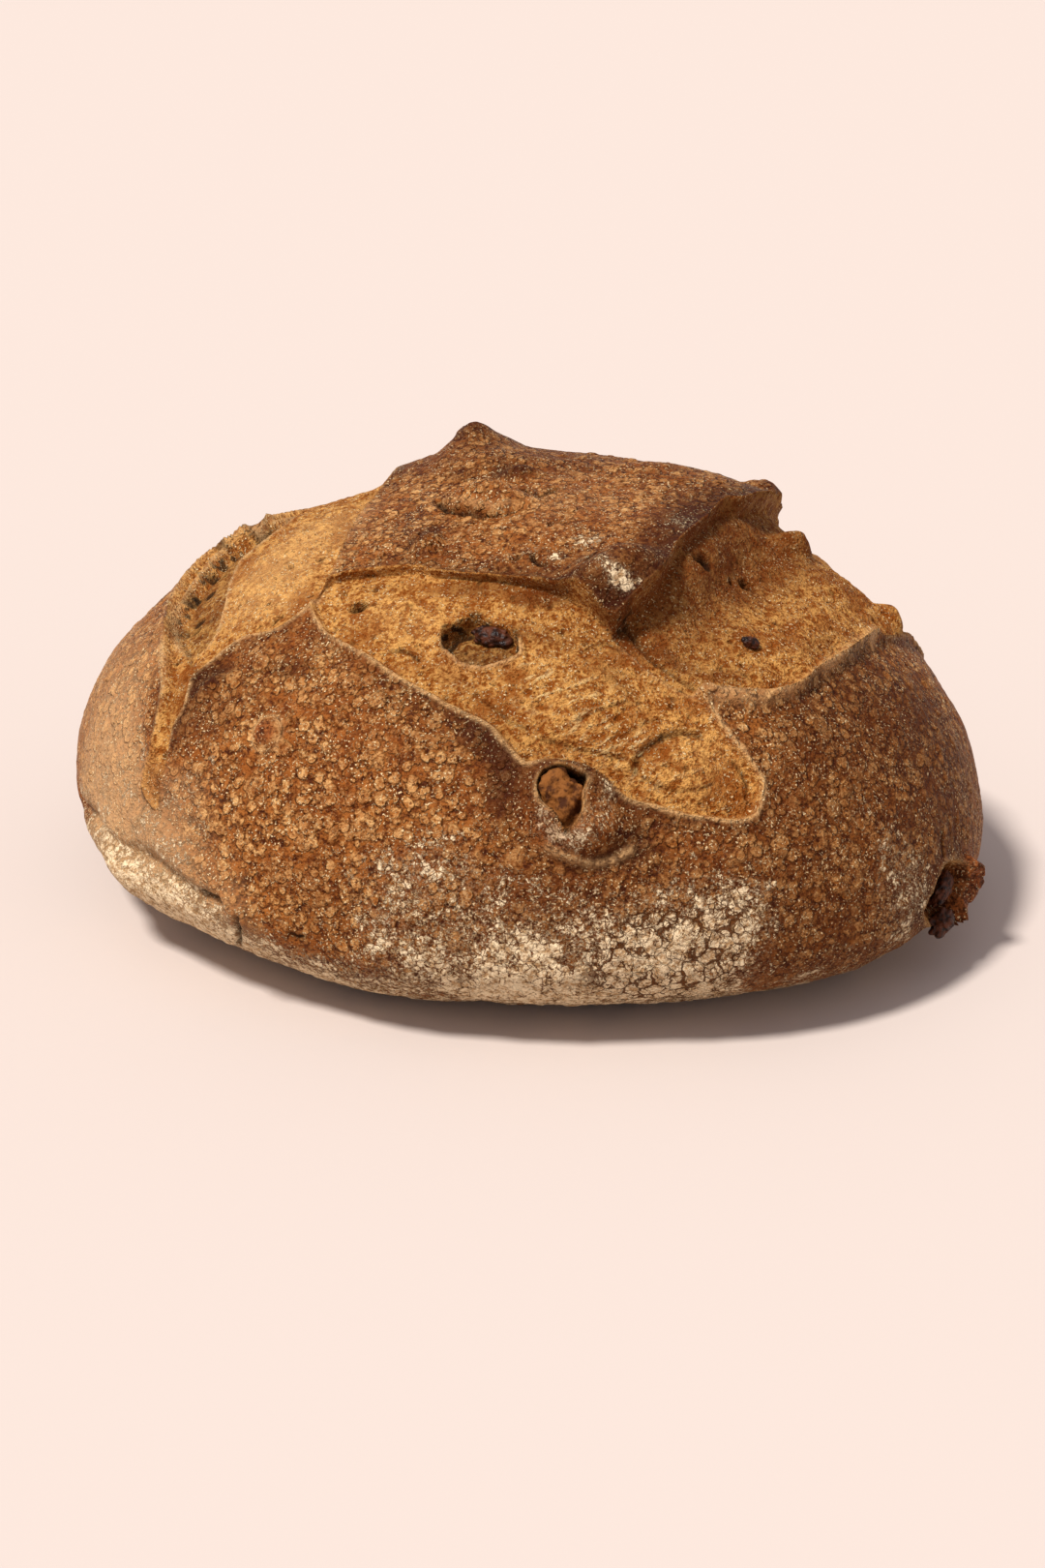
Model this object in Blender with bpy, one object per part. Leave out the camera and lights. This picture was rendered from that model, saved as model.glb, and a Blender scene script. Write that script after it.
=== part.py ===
"""A raisin walnut sourdough loaf, scored with four cuts in a square that lift a plate of crust on its top.

Metres, +Z up. The origin lies under the middle of the loaf, on the surface that it stands on.
The marks on the crust are given where one view of the loaf shows them, in pixels of PIXEL metres on a
plane through VIEW_TARGET, and are laid on the crust from there. Marks on the far side are given from
above, in millimetres. Heights in the lists are millimetres above the smooth crust.
"""

import math

import bpy
import numpy as np

MM = 0.001

# Driving dimensions
LOAF_WIDTH = 0.210
LOAF_DEPTH = 0.178
CROWN_HEIGHT = 0.093
HEART_HEIGHT = 0.022
UNDERSIDE_DROP = 0.030
SQUARENESS = 2.05
TURN = math.radians(-17)
BASE_ROUNDING = 0.010
BASE_SLICE = 0.0004
TRIM_START = 0.3
TRIM_SOFTNESS = math.radians(8)
SOCKET_EASE = 0.0004

# How the surface is worked
CRUST_SPREAD = 0.011
FLOOR_SPREAD = 0.008
CRUST_CALM = 0.02
FLOOR_CALM = 1e-12
WALL_WIDTH = 0.0022
RIDGE_WIDTH = 0.0022
UNDERCUT_WIDTH = 0.0032
GRID = 100
FACING = np.array((0.0, -0.17, 0.22))
LOAF_TRIANGLES = 8600
INLAY_GRID = 7

# The view that the marks were read from
LOAF_WIDTH_PX = 939
PIXEL = LOAF_WIDTH / LOAF_WIDTH_PX
VIEW_CENTRE_PX = np.array((540.0, 810.0))
VIEW_TARGET = np.array((-0.0015, 0.0, 0.022))
VIEW_ELEVATION = math.radians(25)
VIEW_DISTANCE = 0.95
RIGHT = np.array((1.0, 0.0, 0.0))
UP = np.array((0.0, math.sin(VIEW_ELEVATION), math.cos(VIEW_ELEVATION)))
BACK = np.array((0.0, -math.cos(VIEW_ELEVATION), math.sin(VIEW_ELEVATION)))
EYE = VIEW_TARGET + VIEW_DISTANCE * BACK
HEART = np.array((0.0, 0.0, HEART_HEIGHT))

# The loaf's smooth outline in that view, clockwise from its left end, with the lifted crust left out
OUTLINE_PX = [
    (80, 757), (87, 722), (101, 690), (120, 662), (148, 638), (174, 616), (191, 594), (214, 570),
    (246, 549), (280, 533), (314, 521), (346, 512), (386, 503), (450, 490), (500, 481), (560, 474),
    (620, 478), (680, 487), (740, 505), (790, 530), (838, 566), (870, 596), (905, 630), (940, 662),
    (963, 684), (979, 710), (993, 743), (1005, 775), (1013, 808), (1017, 845), (1013, 885), (996, 925),
    (970, 957), (940, 978), (915, 993), (882, 1006), (843, 1015), (805, 1023), (748, 1031), (671, 1035),
    (595, 1038), (532, 1037), (474, 1033), (411, 1029), (366, 1023), (325, 1012), (290, 997),
    (245, 985), (197, 961), (160, 941), (130, 920), (106, 890), (89, 855), (79, 812),
]

# How far the crust stands above the smooth loaf: (x, y, height)
CRUST_SPOTS = [
    (490, 442, 9.0), (464, 456, 5), (446, 474, 3), (428, 486, 2.5), (400, 510, 0), (520, 452, 4),
    (560, 465, 1.6), (600, 468, 2), (640, 472, 2), (690, 479, 2.6), (740, 494, 4.6), (795, 508, 8.5),
    (757, 522, 6.5), (722, 550, 5.5), (704, 572, 5), (690, 592, 5), (660, 615, 5), (635, 632, 3.5),
    (645, 580, 3.5), (600, 600, 2), (600, 560, 1), (540, 570, 0.5), (480, 590, 0.5), (440, 560, 0.5),
    (400, 588, 0.5), (340, 598, 0), (600, 510, 0.5), (680, 520, 2), (520, 520, 0.5), (450, 520, 0),
]
CRUST_SPOTS_ABOVE = [
    (-14, 42, 6), (-4, 41, 2.5), (8, 42, 1), (30, 42, 0.5), (46, 36, 5), (-30, 52, 0), (0, 62, 0),
    (40, 60, 0), (70, 48, 0),
]

# The cuts' outlines: (x, y, rim, undercut), with the height of the crust's rim and how far the crust
# overhangs the floor of the cut
FRONT_CUT_PX = [
    (325, 623, 0.4, 0.6), (329, 609, 0.6, 1.0), (343, 598, 0.6, 1.4), (368, 592, 0.6, 1.8),
    (400, 590, 0.6, 1.8), (428, 587, 0.4, 1.2), (450, 592, 0.8, 2.0), (480, 595, 0.8, 2.2),
    (532, 600, 0.8, 2.2), (572, 605, 0.8, 2.2), (602, 619, 0.8, 2.4), (628, 636, 0.6, 2.4),
    (645, 638, 0, 0), (665, 650, 0, 0), (685, 670, 0, 0), (708, 690, 0, 0), (724, 708, 0, 0),
    (731, 732, 0.6, 0.4), (744, 753, 0.6, 0.4), (764, 776, 0.6, 0.4), (780, 798, 0.8, 0.4),
    (786, 815, 0.8, 0.4), (776, 840, 0.8, 0.4), (748, 843, 0.8, 0.4), (712, 838, 0.8, 0.4),
    (678, 830, 0.9, 0.4), (651, 823, 0.9, 0.4), (634, 807, 1.2, 0.6), (616, 794, 1.4, 0.8),
    (590, 785, 1.4, 0.8), (565, 781, 1.0, 0.6), (543, 784, 0.8, 0.4), (529, 769, 0.8, 0.4),
    (512, 750, 0.8, 0.4), (486, 735, 0.8, 0.4), (449, 717, 0.8, 0.4), (416, 698, 0.8, 0.4),
    (385, 678, 0.8, 0.4), (350, 658, 0.8, 0.4), (332, 642, 0.6, 0.4),
]
RIGHT_CUT_LIP_PX = [
    (640, 640, 0, 0), (654, 628, 0.6, 1.2), (672, 613, 0.8, 1.8), (694, 591, 0.8, 1.4),
    (706, 565, 0.8, 1.0), (724, 549, 0.8, 1.0), (746, 530, 0.8, 1.0), (758, 518, 0.8, 0.8),
    (778, 518, 0.6, 0.8), (800, 512, 0.4, 0.8),
]
RIGHT_CUT_ABOVE = [
    (57, 34, 0.4, 0.8), (58, 44, 0.4, 0.8), (68, 49, 0.4, 0), (79, 42, 0.6, 0), (87, 28, 0.8, 0),
    (90, 13, 1.4, 0),
]
RIGHT_CUT_RIM_PX = [
    (945, 656, 2.2, 0.6), (933, 658, 2.2, 0.6), (912, 659, 2.0, 0.6), (900, 655, 2.6, 0.8),
    (887, 662, 2.6, 1.0), (873, 673, 2.4, 1.0), (853, 685, 2.4, 1.0), (836, 696, 2.4, 1.0),
    (819, 709, 2.4, 1.0), (794, 716, 2.4, 1.0), (766, 714, 2.0, 0.8), (741, 711, 1.4, 0.4),
    (728, 708, 0.8, 0), (719, 710, 0.3, 0), (698, 693, 0.3, 0), (673, 673, 0.3, 0), (655, 655, 0.3, 0),
]
LEFT_CUT_PX = [
    (330, 608, 0.3, 0), (322, 619, 0.5, 0.2), (315, 627, 0.5, 0.2), (297, 640, 0.5, 0.2),
    (279, 650, 0.5, 0.2), (254, 656, 0.5, 0.2), (239, 666, 0.6, 0.3), (223, 679, 1.0, 0.4),
    (203, 696, 1.4, 0.6), (196, 707, 1.2, 0.5), (188, 730, 0.4, 0), (177, 750, 0.3, 0),
    (171, 781, 0.2, 0), (164, 810, 0.2, 0), (160, 832, 0, 0), (148, 812, 0, 0), (156, 780, 0.2, 0),
    (164, 745, 0.3, 0), (170, 705, 0.5, 0), (172, 670, 0.8, 0.3), (176, 640, 1.6, 0.8),
    (182, 618, 1.6, 0.4), (194, 597, 1.6, 0.4), (213, 574, 1.6, 0.4), (233, 555, 1.6, 0.4),
    (252, 542, 1.8, 0.4), (275, 532, 1.6, 0.4),
]
LEFT_CUT_ABOVE = [
    (-60, 36, 1.4, 0.4), (-56, 45, 0.8, 0), (-46, 51, 0.4, 0), (-36, 49, 0.4, 0), (-31, 38, 0.4, 0),
]
LEFT_CUT_END_PX = [(386, 511, 0.2, 0), (364, 538, 0.2, 0), (351, 566, 0.2, 0), (341, 589, 0.3, 0)]
BACK_CUT_ABOVE = [
    (-22, 50, 0.4, 0.6), (-12, 45, 0.6, 1.6), (6, 45, 0.6, 1.8), (26, 44, 0.6, 1.8), (42, 40, 0.6, 1.6),
    (51, 41, 0.4, 0.6), (53, 49, 0.8, 0.4), (47, 58, 0.9, 0.4), (32, 67, 0.9, 0.4), (10, 71, 0.9, 0.4),
    (-10, 66, 0.9, 0.4), (-22, 57, 0.6, 0.4),
]

# The floors of the cuts: (x, y, height)
FRONT_FLOOR_PX = [
    (340, 625, -1.6), (372, 606, -2.6), (400, 608, -2.4), (440, 604, -2), (480, 614, -2),
    (530, 618, -2.2), (575, 626, -2.4), (610, 646, -3), (640, 660, -3.4), (380, 650, -1.6),
    (430, 680, -1.4), (450, 650, -2.2), (500, 690, -1.6), (560, 670, -2.4), (500, 720, -1.2), (540, 750, -1.2),
    (600, 700, -2), (590, 760, -1.4), (660, 690, -2.4), (700, 720, -2), (640, 740, -1.8),
    (640, 790, -1.6), (700, 760, -1.8), (740, 790, -1.8), (700, 820, -1.4), (760, 825, -1.6),
]
RIGHT_FLOOR_PX = [
    (664, 645, -4), (690, 612, 0.5), (712, 580, 1.5), (735, 556, 2), (765, 535, 2.5), (790, 530, 2.5),
    (676, 662, -5), (704, 657, -6), (724, 645, -6.5), (745, 628, -6.5), (763, 612, -6.5),
    (788, 596, -5.5), (804, 570, -2.5), (716, 690, -3), (730, 672, -3.5), (741, 700, -2.6),
    (768, 665, -2), (775, 640, -2.6), (800, 620, -2.2), (815, 660, -0.8), (790, 695, -1.6),
    (835, 620, 0), (840, 672, -0.8), (860, 640, 0.6), (880, 640, 1.0), (885, 612, 3.0), (855, 592, 2.4),
    (830, 580, 1.8), (818, 556, 1.8), (910, 640, 1.8), (930, 650, 1.6),
]
RIGHT_FLOOR_ABOVE = [
    (61, 38, -4.5), (61, 28, -2.5), (66, 14, 0.2), (71, 17, 0.6), (78, 13, 0.6), (74, 28, -0.4),
    (66, 42, -3), (80, 32, -1), (84, 14, 0.4),
]
LEFT_FLOOR_PX = [
    (318, 612, -1.6), (335, 570, -1.4), (350, 538, -0.6), (372, 516, 0), (320, 542, 0), (300, 558, 0),
    (290, 600, -0.8), (260, 600, -0.8), (300, 630, -1.8), (250, 640, -1.8), (225, 665, -2.2),
    (200, 680, -2.4), (196, 640, -2), (213, 604, -1.6), (234, 576, -1.2), (268, 548, -1),
    (182, 660, -3), (183, 700, -2.4), (176, 735, -1.6), (166, 770, -1.4), (160, 800, -1),
    (240, 610, -1.2), (270, 570, -1.2),
]
LEFT_FLOOR_ABOVE = [(-52, 36, -1.6), (-44, 44, -1.4), (-36, 40, -1)]
BACK_FLOOR_ABOVE = [
    (-14, 52, -3), (8, 51, -3.6), (30, 50, -3.6), (50, 46, -3), (46, 54, -1.6), (26, 60, -1.4),
    (2, 62, -1.4), (-14, 58, -1.4),
]

# Swellings: (x, y, height, half length, half width, turn in degrees), in millimetres and from the view's
# right hand anticlockwise. The first rise from the crust before it is cut, the others also from the floors.
CRUST_SWELLINGS = [
    (645, 586, 7.0, 12, 8, 12), (615, 612, 2.4, 7, 4, -25), (498, 496, 5.8, 11, 5.2, -4),
    (538, 484, 2.2, 5, 3, 0),
    (494, 449, 3.8, 12, 8, 0), (490, 441, 1.8, 5, 5, 0), (796, 508, 3.0, 5.5, 5, 0),
    (437, 555, 3.2, 3.4, 5.4, 0), (516, 580, 0.8, 4, 2.5, 0), (592, 832, 6.0, 11, 11.5, 0),
    (618, 866, 2.6, 10, 5, 20), (276, 755, 1.4, 4.2, 4.2, 0), (242, 943, 1.8, 5, 5, 0),
    (190, 905, 2.6, 26, 6, -32), (110, 885, 2.6, 12, 7, -45), (826, 548, 2.4, 4.5, 3, -30),
    (216, 706, 1.6, 6, 3, 35), (900, 652, 1.2, 5, 3, 25),
]
FLOOR_SWELLINGS = [
    (715, 800, 1.6, 11, 7, -20), (926, 640, 3.4, 4, 4, 0), (832, 553, 4.6, 6, 4, -30),
    (500, 660, 0.8, 9, 6, 0), (610, 730, 0.8, 14, 9, -40), (770, 650, 0.8, 9, 6, 20),
    (385, 625, 0.6, 7, 5, 0),
]

# Small hollows: outlines with rims and undercuts as above, and the height of each floor
POCKET_PX = [
    (457, 658, 0.4, 0.5), (457, 644, 0.4, 0.6), (470, 637, 0.5, 0.8), (488, 629, 0.5, 0.8),
    (501, 637, 0.6, 1.0), (520, 640, 0.6, 1.0), (531, 652, 0.6, 0.6), (532, 666, 0.8, 0.2),
    (517, 677, 1.1, 0), (498, 683, 1.2, 0), (480, 680, 1.0, 0), (467, 670, 0.7, 0.2),
]
POCKET_FLOOR = -6.0
SPLIT_PX = [
    (560, 822, 0.5, 0.4), (562, 804, 0.5, 0.6), (576, 797, 0.5, 0.6), (592, 800, 0.5, 0.6),
    (607, 809, 0.5, 0.5), (603, 823, 0.4, 0.4), (604, 838, 0.4, 0.3), (596, 852, 0.3, 0.2),
    (586, 858, 0.3, 0), (580, 843, 0.4, 0), (568, 833, 0.5, 0),
]
SPLIT_FLOOR = -1.5
TROUGH_PX = [
    (300, 536, 0.8, 0), (284, 548, 0.9, 0.2), (265, 561, 0.9, 0.3), (245, 577, 0.9, 0.4),
    (236, 594, 0.9, 0.4), (230, 614, 0.9, 0.4), (223, 636, 0.8, 0.3), (212, 656, 0.5, 0.2),
    (198, 668, 0.3, 0), (184, 662, 0.4, 0.2), (179, 643, 0.8, 0.4), (184, 622, 1.0, 0.4),
    (196, 601, 1.0, 0.4), (214, 579, 1.0, 0.4), (234, 560, 1.0, 0.4), (253, 547, 1.0, 0.4),
    (276, 537, 1.0, 0.2),
]
TROUGH_FLOOR = -4.6
SIDE_HOLE_PX = [
    (976, 898, 0.5, 0.3), (986, 892, 0.5, 0.4), (996, 896, 1.0, 0.4), (995, 910, 2.0, 0.4),
    (989, 922, 2.0, 0.4), (984, 938, 2.0, 0.4), (974, 950, 1.2, 0.4), (960, 952, 0.6, 0.4),
    (956, 942, 0.4, 0.4), (962, 928, 0.4, 0.4), (969, 912, 0.4, 0.4),
]
SIDE_HOLE_FLOOR = -4.5

# Open bubbles of the crumb: (x, y, radius, height of the floor)
CRUMB_HOLES = [
    (375, 627, 2.6, -5.5), (268, 544, 2.6, -5.5), (229, 586, 2.4, -5.5), (243, 570, 2.0, -5),
    (203, 634, 2.2, -5), (214, 606, 2.2, -5), (728, 583, 2.4, -2), (771, 601, 2.6, -8), (905, 645, 1.8, -3),
]

# Grooves and ridges: half width, height and points, in pixels
CREASES = [
    (1.5, -3.4, [(76, 822), (84, 836), (96, 845), (108, 861), (130, 879), (156, 888), (181, 902),
                 (203, 918), (229, 932)]),
    (0.9, -0.8, [(645, 645), (655, 655), (673, 674), (698, 694), (719, 711)]),
    (0.9, -1.6, [(655, 790), (659, 779), (674, 767), (689, 757), (709, 755), (728, 758), (741, 768)]),
    (2.0, 4.2, [(1000, 893), (1006, 905), (1006, 918), (1000, 932), (990, 946)]),
    (1.5, 1.4, [(733, 716), (750, 722), (772, 725), (797, 723), (820, 715), (838, 702), (856, 690),
                (875, 679), (890, 667), (902, 661)]),
]

# Pieces set in the loaf: name, place in pixels, height of the middle, half sizes, turn in degrees,
# number and depth of its wrinkles, and a seed
PIECES = [
    ("raisin_pocket", (509, 658), -4.7, (4.8, 3.1, 2.6), -12, 14, 0.16, 3),
    ("raisin_side_upper", (973, 918), -2.9, (5.4, 2.6, 2.5), 62, 16, 0.16, 7),
    ("raisin_side_lower", (985, 956), 1.6, (4.6, 3.2, 3.0), 24, 14, 0.18, 11),
    ("raisin_crumb", (776, 664), -1.2, (2.3, 1.4, 1.3), -20, 8, 0.12, 15),
    ("walnut", (583, 827), 1.3, (5.2, 6.6, 3.4), 12, 7, 0.2, 19),
]
COLOURS = {
    "loaf": (0.37, 0.15, 0.045, 1.0),
    "raisin": (0.045, 0.012, 0.008, 1.0),
    "walnut": (0.42, 0.20, 0.08, 1.0),
}


def smooth(x, low, high):
    """0 below low, 1 above high, and an even S between."""
    t = np.clip((x - low) / (high - low), 0.0, 1.0)
    return t * t * (3.0 - 2.0 * t)


def unit(v):
    return v / np.linalg.norm(v, axis=-1, keepdims=True)


def seen_at(points):
    """Where the view shows these points, in pixels."""
    offset = points - EYE
    shrink = VIEW_DISTANCE / -(offset @ BACK)
    across = np.stack((offset @ RIGHT * shrink, -(offset @ UP) * shrink), axis=-1)
    return VIEW_CENTRE_PX + across / PIXEL


def plain_radius(d):
    """The radius about HEART of a squarish ellipsoid, turned a little in plan."""
    cos, sin = math.cos(TURN), math.sin(TURN)
    along = np.abs(d[:, 0] * cos + d[:, 1] * sin) / (LOAF_WIDTH / 2)
    across = np.abs(d[:, 1] * cos - d[:, 0] * sin) / (LOAF_DEPTH / 2)
    tall = np.where(d[:, 2] > 0, CROWN_HEIGHT - HEART_HEIGHT, UNDERSIDE_DROP)
    up = np.abs(d[:, 2]) / tall
    return (along**SQUARENESS + across**SQUARENESS + up**SQUARENESS) ** (-1 / SQUARENESS)


def polar_px(px):
    """Angle and distance of pixels about the place where HEART is seen."""
    offset = px - seen_at(HEART)
    return np.arctan2(offset[:, 1], offset[:, 0]), np.hypot(offset[:, 0], offset[:, 1])


def even_directions(count):
    """Unit directions spread evenly over the sphere."""
    k = np.arange(count) + 0.5
    turn, z = k * math.pi * (3 - math.sqrt(5)), 1 - 2 * k / count
    flat = np.sqrt(1 - z * z)
    return np.stack((flat * np.cos(turn), flat * np.sin(turn), z), axis=-1)


def closed_spline(points, steps):
    """A closed Catmull-Rom curve through the points; further columns are carried along."""
    p = np.array(points, float)
    a, b, c, d = (np.roll(p, shift, axis=0)[:, None] for shift in (1, 0, -1, -2))
    t = (np.arange(steps) / steps)[None, :, None]
    bend, twist = 2 * a - 5 * b + 4 * c - d, 3 * b - a - 3 * c + d
    return (0.5 * (2 * b + (c - a) * t + bend * t**2 + twist * t**3)).reshape(-1, p.shape[1])


def softened(angles, values):
    """Values evenly spaced round a circle, each blended with its neighbours."""
    apart = (angles[:, None] - angles[None, :] + math.pi) % (2 * math.pi) - math.pi
    weight = np.exp(-((apart / TRIM_SOFTNESS) ** 2))
    return weight @ values / weight.sum(axis=1)


def trim_factors():
    """How much wider the drawn outline is than the plain body's, by angle about HEART."""
    count = 120
    angles = (np.arange(count) + 0.5) / count * 2 * math.pi - math.pi
    d = even_directions(60000)
    plain_angle, plain_distance = polar_px(seen_at(HEART + plain_radius(d)[:, None] * d))
    farthest = np.zeros(count)
    slot = ((plain_angle + math.pi) / (2 * math.pi) * count).astype(int) % count
    np.maximum.at(farthest, slot, plain_distance)
    drawn_angle, drawn = polar_px(closed_spline(OUTLINE_PX, 8))
    order = np.argsort(drawn_angle)
    drawn_here = np.interp(angles, drawn_angle[order], drawn[order], period=2 * math.pi)
    return angles, softened(angles, farthest), softened(angles, drawn_here / farthest)


TRIM_ANGLES, PLAIN_RIM, TRIM = trim_factors()


def body_radius(d):
    """The radius about HEART of the smooth loaf: the plain body, trimmed to the outline, on a flat base."""
    plain = plain_radius(d)
    angle, distance = polar_px(seen_at(HEART + plain[:, None] * d))
    rim = np.interp(angle, TRIM_ANGLES, PLAIN_RIM, period=2 * math.pi)
    factor = np.interp(angle, TRIM_ANGLES, TRIM, period=2 * math.pi)
    trimmed = plain * (1 + (factor - 1) * smooth(distance / rim, TRIM_START, 1.0))
    floor = (HEART_HEIGHT + BASE_SLICE) / np.maximum(-d[:, 2], 1e-6)
    blend = np.maximum(BASE_ROUNDING - np.abs(trimmed - floor), 0) / BASE_ROUNDING
    return np.minimum(trimmed, floor) - blend**2 * BASE_ROUNDING / 4


def first_hit(starts, aims, near, far, rise):
    """The unit directions from HEART at which rays first meet the loaf, raised by rise, or pass nearest."""
    steps = np.linspace(near, far, 160)
    offset = starts[:, None] + aims[:, None] * steps[None, :, None] - HEART
    reach = np.linalg.norm(offset, axis=-1)
    crust = body_radius((offset / reach[..., None]).reshape(-1, 3)).reshape(reach.shape)
    gap = reach - crust - np.reshape(rise, (-1, 1))
    row = np.arange(len(aims))
    first = np.where((gap < 0).any(axis=1), (gap < 0).argmax(axis=1), gap.argmin(axis=1))
    before, after = gap[row, np.maximum(first - 1, 0)], gap[row, first]
    back_by = np.where(after < 0, after / np.minimum(after - before, -1e-9), 0.0)
    hit = offset[row, first] - aims * (back_by * (steps[1] - steps[0]))[:, None]
    return unit(hit)


def on_crust(px, rise=0.0):
    """The unit directions from HEART at which the view shows the loaf, raised by rise, at these pixels."""
    across = (np.asarray(px, float)[:, :2] - VIEW_CENTRE_PX) * PIXEL
    aims = unit(VIEW_TARGET + across[:, :1] * RIGHT - across[:, 1:] * UP - EYE)
    starts = np.broadcast_to(EYE, aims.shape)
    return first_hit(starts, aims, VIEW_DISTANCE - 0.14, VIEW_DISTANCE + 0.10, np.full(len(aims), rise))


def from_above(places):
    """The unit directions from HEART to the crust above these places in plan, in millimetres."""
    plan = np.asarray(places, float)[:, :2] * MM
    starts = np.column_stack((plan, np.full(len(plan), 2 * CROWN_HEIGHT)))
    aims = np.broadcast_to((0.0, 0.0, -1.0), starts.shape)
    return first_hit(starts, aims, 0.5 * CROWN_HEIGHT, 2 * CROWN_HEIGHT, np.zeros(len(plan)))


def on_body(d):
    return HEART + body_radius(d)[:, None] * d


class Spots:
    """A height that passes near given heights at given places, and fades away from them by calm."""

    def __init__(self, seen, above, spread, calm):
        rows = [(on_crust([s], s[2] * MM)[0], s[2]) for s in seen]
        rows += [(from_above([s])[0], s[2]) for s in above]
        self.places = on_body(np.array([direction for direction, _ in rows]))
        self.heights = np.array([height for _, height in rows]) * MM
        self.spread, self.calm = spread, calm

    def __call__(self, points):
        total, weight = np.zeros(len(points)), np.full(len(points), self.calm)
        for place, height in zip(self.places, self.heights):
            near = np.exp(-(((points - place) ** 2).sum(axis=1)) / self.spread**2)
            total += near * height
            weight += near
        return total / weight


def chart(d):
    """A flat map of unit directions about +Z, for telling inside from outside."""
    flat = np.maximum(np.hypot(d[:, 0], d[:, 1]), 1e-9)
    return d[:, :2] / flat[:, None] * np.arccos(np.clip(d[:, 2], -1, 1))[:, None]


class Line:
    """A curve laid on the smooth loaf, with columns of values that are carried along it."""

    def __init__(self, directions, values, closed):
        self.points = on_body(directions)
        self.flat = chart(directions)
        self.closed = closed
        along = np.roll(self.points, -1, axis=0) - np.roll(self.points, 1, axis=0)
        inward = unit(np.cross(directions, along))
        ahead = np.roll(self.flat, -1, axis=0)
        turns_left = (self.flat[:, 0] * ahead[:, 1] - ahead[:, 0] * self.flat[:, 1]).sum() > 0
        self.values = np.column_stack((values, inward if turns_left else -inward))

    def measure(self, points, d, far):
        """Distance to the curve, negative inside a closed one, and the values at the nearest place.

        Points farther than far from the curve's box keep that distance and the first values.
        """
        count = len(self.points) - (0 if self.closed else 1)
        index = np.arange(count)
        start, end = self.points[index], self.points[(index + 1) % len(self.points)]
        step = end - start
        length2 = np.maximum((step**2).sum(axis=1), 1e-14)
        distance = np.full(len(points), far)
        values = np.repeat(self.values[:1], len(points), axis=0)
        in_box = (points > self.points.min(axis=0) - far) & (points < self.points.max(axis=0) + far)
        near = np.flatnonzero(in_box.all(axis=1))
        for part in np.array_split(near, max(1, len(near) // 3000)):
            offset = points[part][:, None] - start[None]
            t = np.clip((offset * step).sum(axis=2) / length2, 0, 1)
            away = ((offset - t[..., None] * step) ** 2).sum(axis=2)
            best = away.argmin(axis=1)
            row = np.arange(len(part))
            share = t[row, best][:, None]
            distance[part] = np.sqrt(away[row, best])
            values[part] = self.values[best] * (1 - share)
            values[part] += self.values[(best + 1) % len(self.points)] * share
            if self.closed:
                inside = self.encloses(chart(d[part]))
                distance[part] = np.where(inside, -distance[part], distance[part])
        return distance, values

    def encloses(self, flat):
        """Whether places on the chart lie inside the closed curve."""
        x0, y0 = self.flat[:, 0], self.flat[:, 1]
        x1, y1 = np.roll(x0, -1), np.roll(y0, -1)
        x, y = flat[:, :1], flat[:, 1:]
        spans = (y0 > y) != (y1 > y)
        slope = (x1 - x0) / np.where(y1 == y0, 1e-12, y1 - y0)
        return ((spans & (x < x0 + (y - y0) * slope)).sum(axis=1) % 2).astype(bool)


CRUST = Spots(CRUST_SPOTS, CRUST_SPOTS_ABOVE, CRUST_SPREAD, CRUST_CALM)


def swelling(points, swellings):
    """The height of some rounded swellings."""
    height = np.zeros(len(points))
    for x, y, rise, half_length, half_width, turn in swellings:
        d = on_crust([(x, y)], rise * MM)
        centre = on_body(d)[0]
        right = unit(np.cross(UP, d[0]))
        up = np.cross(d[0], right)
        cos, sin = math.cos(math.radians(turn)), math.sin(math.radians(turn))
        offset = points - centre
        u, v = offset @ (right * cos + up * sin), offset @ (up * cos - right * sin)
        out2 = (u / (half_length * MM)) ** 2 + (v / (half_width * MM)) ** 2 + (offset @ d[0] / 0.03) ** 2
        height += rise * MM * np.maximum(1 - out2 / 1.6, 0) ** 2
    return height


def crust_height(points):
    """The height of the uncut crust above the smooth loaf."""
    return CRUST(points) + swelling(points, CRUST_SWELLINGS)


def laid_outline(parts):
    """A closed Line through outlines that are given in turn by pixels and from above."""
    directions = []
    for from_view, rows in parts:
        if from_view:
            rise = np.zeros(len(rows))
            for _ in range(3):
                d = np.concatenate([on_crust([row], lift) for row, lift in zip(rows, rise)])
                rise = crust_height(on_body(d))
            directions.append(d)
        else:
            directions.append(from_above(rows))
    values = np.array([row[2:] for _, rows in parts for row in rows]) * MM
    curve = closed_spline(np.column_stack((np.concatenate(directions), values)), 6)
    return Line(unit(curve[:, :3]), curve[:, 3:], True)


class Cut:
    """A cut or a small hollow in the crust: its outline and the height of its floor."""

    def __init__(self, parts, floor, wall):
        self.line = laid_outline(parts)
        self.floor = floor
        self.wall = wall

    def apply(self, points, d, height, lean):
        """Cuts the surface: returns the new heights and sideways moves."""
        away, values = self.line.measure(points, d, 0.012)
        inside = smooth(-away, -self.wall / 2, self.wall / 2)
        rim, undercut, inward = values[:, 0], values[:, 1], values[:, 2:5]
        ridge = rim * np.exp(-((np.maximum(away, 0) / RIDGE_WIDTH) ** 2)) * (away < 0.01)
        height = height + (1 - inside) * ridge
        height = height + inside * (self.floor(points) - height)
        under = undercut * inside * np.exp(-((away / UNDERCUT_WIDTH) ** 2))
        return height, lean * (1 - inside)[:, None] - under[:, None] * inward


def level(height):
    """A floor that stands at one height all over."""
    return lambda points: np.full(len(points), height * MM)


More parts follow.
